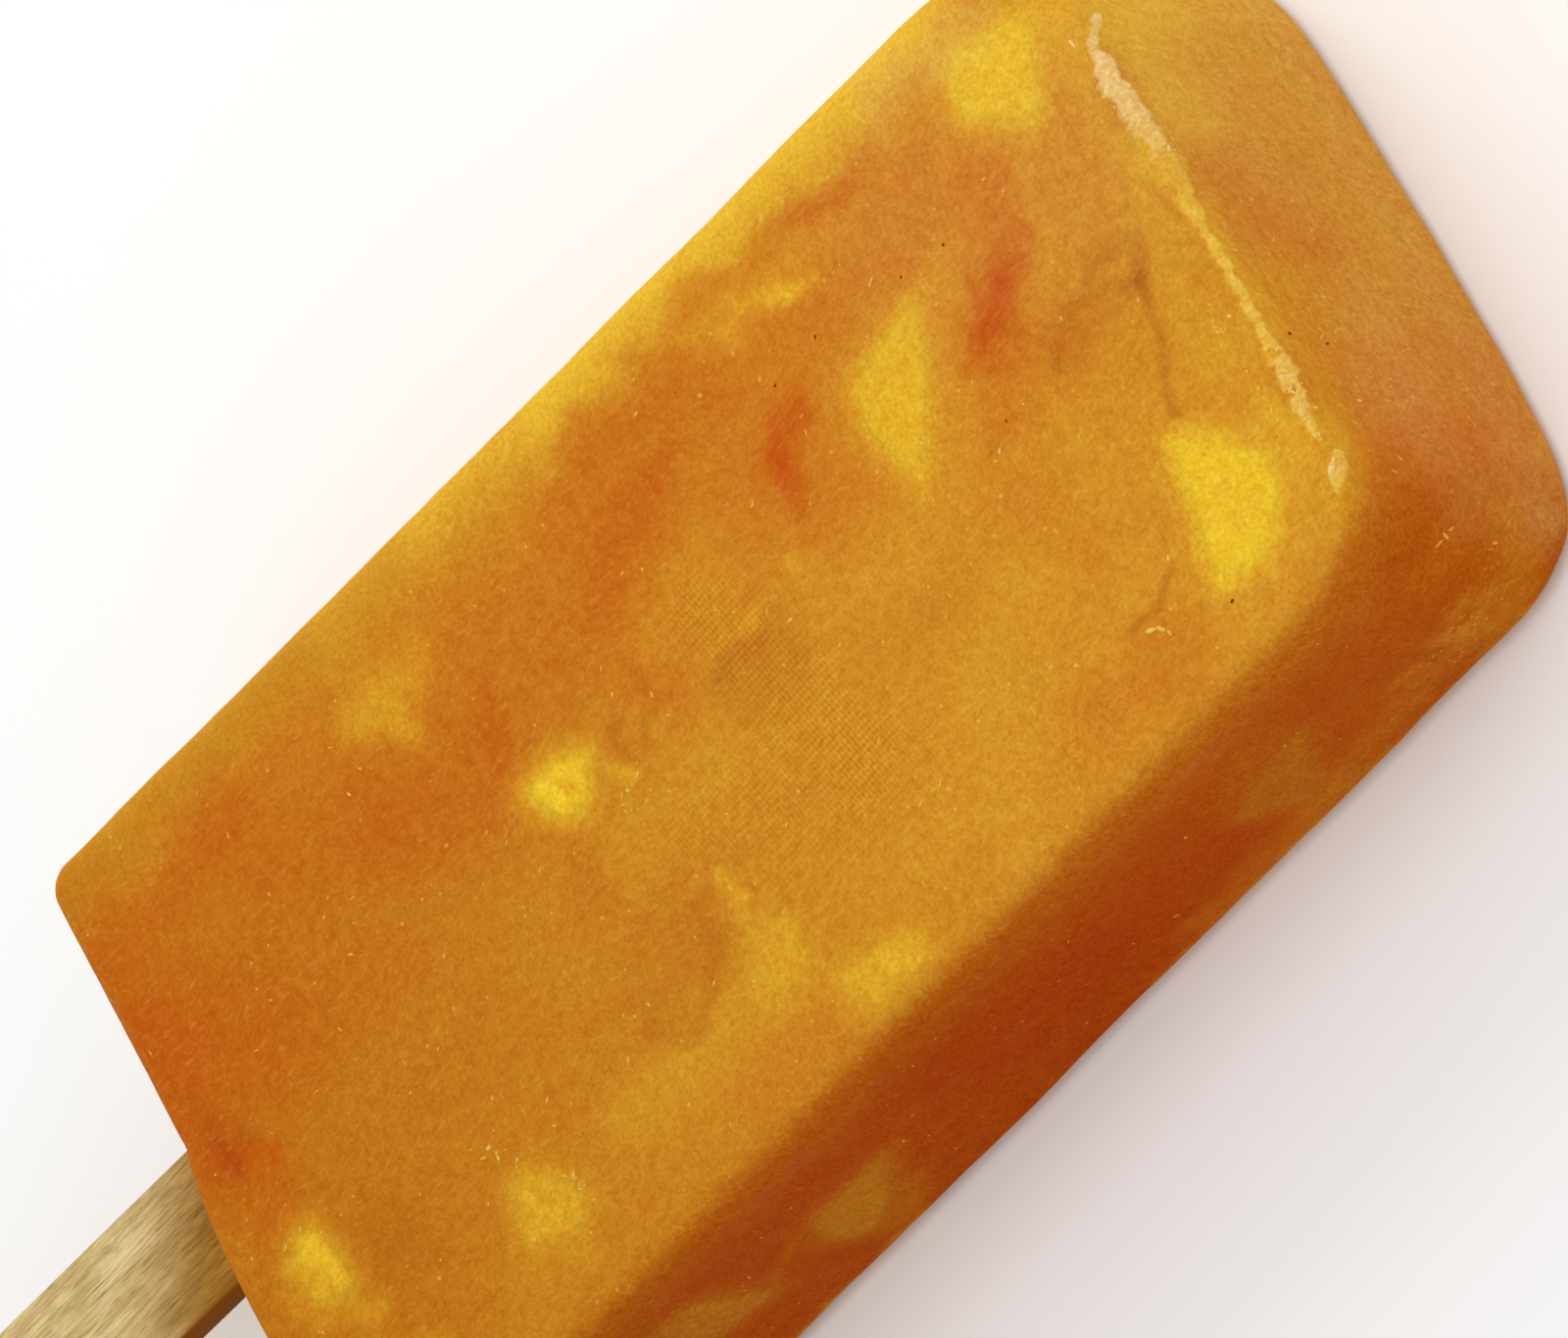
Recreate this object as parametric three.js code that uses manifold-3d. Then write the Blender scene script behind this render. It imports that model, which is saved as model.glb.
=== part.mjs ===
// A fruit ice lolly: a moulded block of mango ice with diced mango frozen flush into its
// faces, on a flat wooden stick. It lies on its back face.
//
// Units are millimetres. +X runs from the stick to the tip, +Z is the outward direction of the
// broad front face, and the origin is the middle of the back face that the lolly lies on.

import * as THREE from "three";
import { mergeVertices } from "three/addons/utils/BufferGeometryUtils.js";
import Module from "manifold-3d";

// The block of ice, as it leaves its mould
const LENGTH = 102.4; // from the base to the crest of the tip
const BASE_WIDTH = 51.6;
const TIP_WIDTH = 48.5; // the mould narrows towards the tip
const BASE_THICKNESS = 22.7;
const TIP_THICKNESS = 22.0;
const LONG_EDGE_RADIUS = 2.35; // also the radius of the base's corners
const TIP_EDGE_RADIUS = 1.2; // the tip's front and back edges are crisper
const TIP_CORNER_REACH = { left: 13.4, right: 10.9 }; // how far each tip corner eats into its sides
const TIP_EDGE_TURN = [0.3, 0.95]; // outward X over which the edges grow crisp
const TIP_CORNER_POWER = 3; // squarer than an ellipse, which has the power 2
const TIP_CROWN = 0.9; // how far the tip's middle stands ahead of its corners
const TIP_CROWN_RUN = 30; // length over which the crown fades into the block
const BASE_CROWN = 0.12; // the base bulges as the last of the ice freezes
const BASE_RUN = 25; // length over which the base's bulge fades into the block
const SWELLING = { height: 1.5, middle: -8, reach: 12.2, fullness: 0.6 }; // of the base beside the stick

// The stick, a common craft size
const STICK_LENGTH = 114;
const STICK_WIDTH = 9.8;
const STICK_THICKNESS = 2;
const STICK_EDGE_RADIUS = 0.3;
const STICK_OUT = 52; // how much of it stands out of the base
const STICK_Y = 3.8;
const STICK_Z = 12.5;
const STICK_TURN_DEG = -0.9; // it froze in slightly askew

// Diced mango
const CHUNK_DEPTH = 3.8;
const CHUNK_EDGE_RADIUS = 0.3; // at the buried end
const CORNER_SOFTNESS = 1.7; // how much of each side a rounded corner takes up
const CHUNK_OVERSHOOT = 2; // how far a plug of mango runs past the face that trims it
const GAP = 0.3; // between pieces that touch

// How the fruit was diced: each cut's corners about its own middle, in order round it.
const CUTS = {
  slab: [[-1.3, 2.9], [-2.2, -1.5], [2.0, -2.9], [1.3, 2.4]],
  nugget: [[-2.2, 2.9], [-3.0, -1.5], [1.8, -2.9], [3.0, -0.8], [0.6, 2.5]],
  chip: [[-2.9, 1.7], [-1.1, -1.8], [1.1, -2.0], [2.9, 0.4], [0.6, 1.7]],
  block: [[-2.2, 2.4], [-2.6, -1.8], [1.8, -3.0], [2.8, 0.6], [0.7, 2.8]],
  strip: [[-4.0, 2.3], [-3.0, -1.7], [3.2, -2.0], [3.8, 0.4], [0.6, 1.6]],
  diamond: [[-2.5, 3.0], [-3.4, 0], [-1.5, -5.2], [2.6, -0.2], [4.6, 4.2]],
  wedge: [[-1.8, 5.6], [-2.8, 0.8], [-4.0, -3.8], [1.0, -4.4], [4.0, -0.6], [1.6, 3.2]],
  cube: [[-3.8, -0.1], [0.9, -3.9], [2.5, -1.9], [4.3, 2.3], [-2.4, 3.5]],
  shard: [[-3.8, 0.6], [-4.2, -2.0], [-2.8, -4.0], [0.5, -1.8], [5.2, 2.9], [-2.0, 3.0]],
};

// Where the pieces froze: the cut, its place on the face seen from outside it (along X, then
// along Y or Z), how far it is turned in degrees, and its size against the cut.
const CHUNKS = {
  front: [
    ["slab", -45.0, -8.7, 0, 1.15],
    ["nugget", -26.8, -16.7, 0, 1.1],
    ["chip", -10.3, 3.2, 0, 1.15],
    ["block", -2.0, -15.6, 0, 1.1],
    ["strip", 4.6, -21.2, 0, 1.05],
    ["diamond", 26.0, 5.6, 0, 1.12],
    ["wedge", 43.0, -14.8, 0, 1.1],
    ["cube", 43.6, 16.0, 0, 1.1],
    ["block", -42.0, -20.0, 80, 0.9],
  ],
  side: [
    ["shard", -15.0, 9.0, 0, 1.12],
    ["slab", -27.4, 12.4, 0, 1.55],
    ["shard", 28.4, 9.2, 8, 1.05],
    ["nugget", -42.0, 11.0, 120, 0.9],
  ],
  left: [
    ["block", -20.0, 11.5, 30, 1.2],
    ["strip", 27.0, 12.0, 160, 0.9],
  ],
  back: [
    ["nugget", -35.0, 11.0, 40, 1.1],
    ["wedge", -14.0, -12.0, 110, 0.9],
    ["diamond", 7.0, 11.0, 200, 0.9],
    ["cube", 28.0, -8.0, 70, 1],
    ["chip", 38.0, 13.0, 15, 1.2],
    ["slab", -38.0, -14.0, 150, 1.2],
  ],
};

// Each face's own directions, and how far it lies from the block's axis plane at x
const FACES = {
  front: { right: [1, 0, 0], up: [0, 1, 0], out: [0, 0, 1], distance: thicknessAt },
  side: { right: [1, 0, 0], up: [0, 0, 1], out: [0, -1, 0], distance: halfWidthAt },
  left: { right: [-1, 0, 0], up: [0, 0, 1], out: [0, 1, 0], distance: halfWidthAt },
  back: { right: [1, 0, 0], up: [0, -1, 0], out: [0, 0, -1], distance: () => 0 },
};

// How finely curves are divided
const SIDE_STEPS = 3;
const BASE_STEPS = 36;
const TIP_STEPS = 8;
const TIP_CORNER_STEPS = 11;
const BASE_CORNER_STEPS = 4;
const FILLET_STEPS = 4;
const MERGE_DISTANCE = 1e-4;

const wasm = await Module();
wasm.setup();

function alongBlock(x) {
  return (x + LENGTH / 2) / LENGTH;
}

function thicknessAt(x) {
  return THREE.MathUtils.lerp(BASE_THICKNESS, TIP_THICKNESS, alongBlock(x));
}

function halfWidthAt(x) {
  return THREE.MathUtils.lerp(BASE_WIDTH, TIP_WIDTH, alongBlock(x)) / 2;
}

// A quarter of a superellipse, from the side of the block round to the tip.
class TipCorner extends THREE.Curve {
  constructor(reach, side) {
    super();
    this.reach = reach;
    this.side = side;
  }

  getPoint(t, target = new THREE.Vector3()) {
    const angle = (t * Math.PI) / 2;
    const squareness = 2 / TIP_CORNER_POWER;
    const forward = this.reach * Math.sin(angle) ** squareness;
    const sideways = this.reach * Math.max(Math.cos(angle), 0) ** squareness;
    const x = LENGTH / 2 - this.reach + forward;
    const y = this.side * (BASE_WIDTH / 2 - this.reach + sideways);
    return target.set(x, y, 0);
  }
}

function evenPoints(curve, steps) {
  return curve.getSpacedPoints(steps).map((p) => new THREE.Vector2(p.x, p.y));
}

function line(x0, y0, x1, y1, steps) {
  return evenPoints(new THREE.LineCurve(new THREE.Vector2(x0, y0), new THREE.Vector2(x1, y1)), steps);
}

// The block seen from the front, before draft and bulges: anticlockwise from its right side.
function planOutline() {
  const { left, right } = TIP_CORNER_REACH;
  const r = LONG_EDGE_RADIUS;
  const base = -LENGTH / 2;
  const tip = LENGTH / 2;
  const half = BASE_WIDTH / 2;
  const baseCorner = (side, from, to) =>
    evenPoints(new THREE.EllipseCurve(base + r, side * (half - r), r, r, from, to), BASE_CORNER_STEPS);
  const stretches = [
    line(base + r, -half, tip - right, -half, SIDE_STEPS),
    evenPoints(new TipCorner(right, -1), TIP_CORNER_STEPS),
    line(tip, -half + right, tip, half - left, TIP_STEPS),
    evenPoints(new TipCorner(left, 1), TIP_CORNER_STEPS).reverse(),
    line(tip - left, half, base + r, half, SIDE_STEPS),
    baseCorner(1, Math.PI / 2, Math.PI),
    line(base, half - r, base, -half + r, BASE_STEPS),
    baseCorner(-1, Math.PI, Math.PI * 1.5),
  ];
  return stretches.flatMap((points) => points.slice(0, -1));
}

// Outward directions across the outline, and the edge radius that each point of it has.
function outlineEdges(outline) {
  return outline.map((point, i) => {
    const before = outline.at(i - 1);
    const after = outline[(i + 1) % outline.length];
    const outward = new THREE.Vector2(after.y - before.y, before.x - after.x).normalize();
    const atTip = THREE.MathUtils.smoothstep(outward.x, ...TIP_EDGE_TURN);
    const radius = THREE.MathUtils.lerp(LONG_EDGE_RADIUS, TIP_EDGE_RADIUS, atTip);
    return { point, outward, radius };
  });
}

// Narrows a point of the plain slab towards the tip, and moves it with the end bulges.
function asMoulded(x, y) {
  const width = halfWidthAt(x) / (BASE_WIDTH / 2);
  const across = (y * 2) / BASE_WIDTH;
  const tipShare = Math.max(0, 1 - (LENGTH / 2 - x) / TIP_CROWN_RUN);
  const baseShare = Math.max(0, 1 - (x + LENGTH / 2) / BASE_RUN);
  const { height, middle, reach, fullness } = SWELLING;
  const swelling = height * Math.max(0, 1 - ((y - middle) / reach) ** 2) ** fullness;
  const forward = TIP_CROWN * across ** 2 * tipShare ** 2;
  const backward = (BASE_CROWN * (1 - across ** 2) + swelling) * baseShare ** 2;
  return [x - forward - backward, y * width];
}

// The closed skin of the block: rings round its outline, from the rim of the back face to the
// rim of the front face, and a flat cap on each.
function blockSkin() {
  const edges = outlineEdges(planOutline());
  const angles = Array.from({ length: FILLET_STEPS + 1 }, (_, k) => (k / FILLET_STEPS) * (Math.PI / 2));
  const ring = (angle, atFront) =>
    edges.flatMap(({ point, outward, radius }) => {
      const inset = radius * (1 - Math.sin(angle));
      const rise = radius * (1 - Math.cos(angle));
      const [x, y] = asMoulded(point.x - outward.x * inset, point.y - outward.y * inset);
      return [x, y, atFront ? thicknessAt(x) - rise : rise];
    });
  const rings = [
    ...angles.map((angle) => ring(angle, false)),
    ...angles.map((angle) => ring(angle, true)).reverse(),
  ];
  const count = edges.length;
  const indices = [];
  for (let k = 0; k + 1 < rings.length; k++) {
    for (let i = 0; i < count; i++) {
      const a = k * count + i;
      const b = k * count + ((i + 1) % count);
      indices.push(a, b, b + count, a, b + count, a + count);
    }
  }
  const last = (rings.length - 1) * count;
  const rim = edges.map((_, i) => new THREE.Vector2(rings[0][3 * i], rings[0][3 * i + 1]));
  for (const [a, b, c] of THREE.ShapeUtils.triangulateShape(rim, [])) {
    indices.push(a, c, b, last + a, last + b, last + c);
  }
  const geometry = new THREE.BufferGeometry();
  geometry.setAttribute("position", new THREE.Float32BufferAttribute(rings.flat(), 3));
  geometry.setIndex(indices);
  return geometry;
}

// A flat stick with round ends and softened edges, grown all round by grow.
function stickGeometry(grow) {
  const half = STICK_WIDTH / 2;
  const straight = STICK_LENGTH / 2 - half;
  const outline = new THREE.Shape();
  outline.absarc(straight, 0, half, -Math.PI / 2, Math.PI / 2, false);
  outline.absarc(-straight, 0, half, Math.PI / 2, Math.PI * 1.5, false);
  const geometry = new THREE.ExtrudeGeometry(outline, {
    depth: STICK_THICKNESS + 2 * (grow - STICK_EDGE_RADIUS),
    bevelThickness: STICK_EDGE_RADIUS,
    bevelSize: STICK_EDGE_RADIUS,
    bevelOffset: grow - STICK_EDGE_RADIUS,
    bevelSegments: 2,
    curveSegments: 12,
  });
  geometry.translate(0, 0, STICK_EDGE_RADIUS - STICK_THICKNESS / 2 - grow);
  geometry.rotateZ(THREE.MathUtils.degToRad(STICK_TURN_DEG));
  const middle = -LENGTH / 2 - STICK_OUT + STICK_LENGTH / 2;
  geometry.translate(middle, STICK_Y, STICK_Z);
  return geometry;
}

// A cut's outline with its corners rounded off.
function cutShape(cut, scale) {
  const corners = CUTS[cut].map(([x, y]) => new THREE.Vector2(x, y).multiplyScalar(scale));
  const shape = new THREE.Shape();
  corners.forEach((corner, i) => {
    const towards = (other) => {
      const side = corner.distanceTo(other);
      return corner.clone().lerp(other, Math.min(CORNER_SOFTNESS, side / 3) / side);
    };
    const start = towards(corners.at(i - 1));
    const end = towards(corners[(i + 1) % corners.length]);
    if (i === 0) shape.moveTo(start.x, start.y);
    else shape.lineTo(start.x, start.y);
    shape.quadraticCurveTo(corner.x, corner.y, end.x, end.y);
  });
  shape.closePath();
  return shape;
}

// One dice of mango as a plug through its face of the block, grown all round by grow.
function chunkPlug(face, [cut, along, across, turnDeg, scale], grow) {
  const { right, up, out, distance } = FACES[face];
  const geometry = new THREE.ExtrudeGeometry(cutShape(cut, scale), {
    depth: CHUNK_DEPTH + grow + CHUNK_OVERSHOOT - CHUNK_EDGE_RADIUS,
    bevelThickness: CHUNK_EDGE_RADIUS,
    bevelSize: CHUNK_EDGE_RADIUS,
    bevelOffset: grow - CHUNK_EDGE_RADIUS,
    bevelSegments: 1,
    curveSegments: 3,
  });
  geometry.rotateZ(THREE.MathUtils.degToRad(turnDeg));
  geometry.translate(0, 0, CHUNK_EDGE_RADIUS - CHUNK_DEPTH - grow);
  const [rightward, upward, outward] = [right, up, out].map((axis) => new THREE.Vector3(...axis));
  const place = new THREE.Matrix4().makeBasis(rightward, upward, outward);
  const spot = new THREE.Vector3(along, 0, 0)
    .addScaledVector(upward, across)
    .addScaledVector(outward, distance(along));
  return geometry.applyMatrix4(place.setPosition(spot));
}

function toManifold(geometry) {
  const bare = geometry.clone();
  bare.deleteAttribute("normal");
  bare.deleteAttribute("uv");
  const merged = mergeVertices(bare, MERGE_DISTANCE);
  const index = merged.index.array;
  return new wasm.Manifold(
    new wasm.Mesh({
      numProp: 3,
      vertProperties: new Float32Array(merged.attributes.position.array),
      triVerts: new Uint32Array(index),
    }),
  );
}

function toGeometry(manifold) {
  const { vertProperties, triVerts } = manifold.getMesh();
  const geometry = new THREE.BufferGeometry();
  geometry.setAttribute("position", new THREE.BufferAttribute(vertProperties, 3));
  geometry.setIndex(new THREE.BufferAttribute(triVerts, 1));
  geometry.computeVertexNormals();
  return geometry;
}

function mangoIce() {
  return new THREE.MeshStandardMaterial({ color: 0xca8226, roughness: 0.55, metalness: 0 });
}

function mangoFlesh() {
  return new THREE.MeshStandardMaterial({ color: 0xe2b02c, roughness: 0.5, metalness: 0 });
}

function birchWood() {
  return new THREE.MeshStandardMaterial({ color: 0xc8ad74, roughness: 0.75, metalness: 0 });
}

function named(name, geometry, material) {
  const mesh = new THREE.Mesh(geometry, material);
  mesh.name = name;
  return mesh;
}

function buildLolly() {
  const lolly = new THREE.Group();
  const skin = toManifold(blockSkin());
  let ice = skin.subtract(toManifold(stickGeometry(GAP)));
  for (const [face, chunks] of Object.entries(CHUNKS)) {
    chunks.forEach((chunk, i) => {
      ice = ice.subtract(toManifold(chunkPlug(face, chunk, GAP)));
      const flush = skin.intersect(toManifold(chunkPlug(face, chunk, 0)));
      lolly.add(named(`mango_${face}_${i + 1}`, toGeometry(flush), mangoFlesh()));
    });
  }
  lolly.add(named("ice_block", toGeometry(ice), mangoIce()));
  lolly.add(named("stick", stickGeometry(0), birchWood()));
  return lolly;
}

export default buildLolly();
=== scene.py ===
"""The looks of a fruit ice lolly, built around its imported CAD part.

A moulded block of mango ice lies on its back face, with diced mango frozen flush into its faces
and a flat birch stick in its base. The file is laid out as an add-on and run as a script: main()
registers the classes and calls their operators in order.

Everything is in the part's own frame: +X runs from the stick to the tip, +Z out of the broad
front face, and the origin is the middle of the back face. Lengths are in metres, so those that
are written in millimetres are multiplied by MM.
"""

import bmesh
import bpy
import numpy as np
from bpy.props import FloatProperty, FloatVectorProperty, PointerProperty
from bpy.types import Operator, Panel, PropertyGroup
from mathutils import Matrix, Vector


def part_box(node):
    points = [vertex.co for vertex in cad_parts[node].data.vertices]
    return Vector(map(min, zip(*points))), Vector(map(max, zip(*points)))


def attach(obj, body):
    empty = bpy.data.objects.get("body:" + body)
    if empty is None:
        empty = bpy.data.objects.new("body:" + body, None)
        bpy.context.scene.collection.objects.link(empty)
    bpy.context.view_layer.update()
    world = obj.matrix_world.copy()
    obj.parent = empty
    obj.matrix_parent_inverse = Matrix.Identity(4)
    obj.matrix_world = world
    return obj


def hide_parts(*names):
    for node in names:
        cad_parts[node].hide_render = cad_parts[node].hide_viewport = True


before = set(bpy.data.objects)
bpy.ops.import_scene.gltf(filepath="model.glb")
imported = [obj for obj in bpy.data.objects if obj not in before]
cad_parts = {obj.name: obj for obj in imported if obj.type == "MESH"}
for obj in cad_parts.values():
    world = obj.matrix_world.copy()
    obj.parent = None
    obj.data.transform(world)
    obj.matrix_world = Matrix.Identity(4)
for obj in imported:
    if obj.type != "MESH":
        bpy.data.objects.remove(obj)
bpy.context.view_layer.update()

bl_info = {
    "name": "Fruit Ice Lolly",
    "version": (1, 0, 0),
    "blender": (4, 5, 0),
    "location": "View3D > Sidebar > Lolly",
    "description": "Dresses a mango ice lolly with frosted ice, diced mango, frost and a birch stick",
    "category": "Object",
}

MM = 0.001
BODY = "root"
STICK_LOW, STICK_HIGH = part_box("stick")
ICE_LOW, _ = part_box("ice_block")

# What each set of random draws starts from. The skin's two sets of waves have 0 and 1
SEEDS = {
    "wander": 40, "borders": (50, 51), "crystals": 52, "gaps": 53,
    "grains": 31, "flecks": 23, "grooves": 3,
}

# ---- The block's form, as it leaves its mould ----

TIP_CORNER_REACH = {-1: 10.9 * MM, 1: 13.4 * MM}  # on the right and the left side
TIP_CORNER_POWER = 3  # squarer than an ellipse, which has the power 2
TIP_EDGE_TURN = (0.3, 0.95)  # outward X over which the edges grow crisp
TIP_ZONE = 9 * MM  # the part of the outline that the tip's front edge is read from
TIP_CROWN = 0.9 * MM
TIP_CROWN_RUN = 30 * MM
BASE_CROWN = 0.12 * MM
BASE_RUN = 25 * MM
SWELLING = {"height": 1.5 * MM, "middle": -8 * MM, "reach": 12.2 * MM, "fullness": 0.6}
SPINE_INSET = 26 * MM  # the faces' rings close on a line that ends this far from the base and tip
WALL_FACING = 0.3  # a wall takes in the outline that turns to it by at least this share

CORNER_POINTS = 400  # along each corner, before the outline is cut into even steps
CHAIN_STEPS = 320  # along each half of the outline, about 0.5 mm each
FACE_ROWS = {"back": 22, "front": 62}
FILLET_ROWS = 8
WALL_ROWS = 28
SEAM = 0.004 * MM  # points of a mesh that lie nearer than this become one

# The skin isn't a perfect copy of the mould. It lies a tenth of a millimetre under it, more or
# less by seeded waves: the shortest, the longest and their height
SKIN_WAVES = [(9 * MM, 30 * MM, 0.035 * MM), (2.2 * MM, 5 * MM, 0.01 * MM)]
SKIN_DROP = 0.1 * MM
WAVES_OF_A_KIND = 14

# ---- Diced mango, in millimetres on its face: along X, then along Y or Z as seen from outside ----

CHUNK_DEPTH = 3.8 * MM
CORNER_SOFTNESS = 1.7 * MM
CORNER_STEPS = 24
CUTS = {
    "slab": [(-1.3, 2.9), (-2.2, -1.5), (2.0, -2.9), (1.3, 2.4)],
    "nugget": [(-2.2, 2.9), (-3.0, -1.5), (1.8, -2.9), (3.0, -0.8), (0.6, 2.5)],
    "chip": [(-2.9, 1.7), (-1.1, -1.8), (1.1, -2.0), (2.9, 0.4), (0.6, 1.7)],
    "block": [(-2.2, 2.4), (-2.6, -1.8), (1.8, -3.0), (2.8, 0.6), (0.7, 2.8)],
    "strip": [(-4.0, 2.3), (-3.0, -1.7), (3.2, -2.0), (3.8, 0.4), (0.6, 1.6)],
    "diamond": [(-2.5, 3.0), (-3.4, 0), (-1.5, -5.2), (2.6, -0.2), (4.6, 4.2)],
    "wedge": [(-1.8, 5.6), (-2.8, 0.8), (-4.0, -3.8), (1.0, -4.4), (4.0, -0.6), (1.6, 3.2)],
    "cube": [(-3.8, -0.1), (0.9, -3.9), (2.5, -1.9), (4.3, 2.3), (-2.4, 3.5)],
    "shard": [(-3.8, 0.6), (-4.2, -2.0), (-2.8, -4.0), (0.5, -1.8), (5.2, 2.9), (-2.0, 3.0)],
}

# The cut, its place, how far it is turned in degrees, its size, and how clearly it shows
CHUNKS = {
    "front": [
        ("slab", -45, -8.7, 0, 1.15, 0.5), ("nugget", -26.8, -16.7, 0, 1.1, 0.42),
        ("chip", -10.3, 3.2, 0, 1.15, 0.88), ("block", -2, -15.6, 0, 1.1, 0.22),
        ("strip", 4.6, -21.2, 0, 1.05, 0.42), ("diamond", 26, 5.6, 0, 1.12, 0.58),
        ("wedge", 43, -14.8, 0, 1.1, 0.84), ("cube", 43.6, 16, 0, 1.1, 0.7),
        ("block", -42, -20, 80, 0.9, 0.6),
    ],
    "side": [
        ("shard", -15, 9, 0, 1.12, 0.75), ("slab", -27.4, 12.4, 0, 1.55, 0.55),
        ("shard", 28.4, 9.2, 8, 1.05, 0.5), ("nugget", -42, 11, 120, 0.9, 0.6),
    ],
    "left": [
        ("block", -20, 11.5, 30, 1.2, 0.7), ("strip", 27, 12, 160, 0.9, 0.85),
    ],
    "back": [
        ("nugget", -35, 11, 40, 1.1, 0.8), ("wedge", -14, -12, 110, 0.9, 0.9),
        ("diamond", 7, 11, 200, 0.9, 0.7), ("cube", 28, -8, 70, 1, 0.85),
        ("chip", 38, 13, 15, 1.2, 0.6), ("slab", -38, -14, 150, 1.2, 0.75),
    ],
}

# Each face's own directions: along, up and out of it
FACES = {
    "front": np.array([(1.0, 0, 0), (0, 1, 0), (0, 0, 1)]),
    "side": np.array([(1.0, 0, 0), (0, 0, 1), (0, -1, 0)]),
    "left": np.array([(-1.0, 0, 0), (0, 0, 1), (0, 1, 0)]),
    "back": np.array([(1.0, 0, 0), (0, -1, 0), (0, 0, -1)]),
    "tip": np.array([(0, 1.0, 0), (0, 0, 1), (1, 0, 0)]),
}

# How mango fades into the ice: outside and inside its outline
HALO = (-2.2 * MM, 0.3 * MM, 0.3)  # from, to, share of its strength
CORE = (-0.8 * MM, 0.9 * MM, 0.7)

OUTLINE_STEPS = 84
CAP_ROWS = 14
CHUNK_WALL_ROWS = 8
CHUNK_PROUD = 0.05 * MM
CHUNK_RIM_DROP = 0.14 * MM  # its rim lies under the ice, so it comes out of it without a step
CHUNK_RIM_POWER = 10  # how late towards the rim the cap drops

# ---- Marks in the ice ----

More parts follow.
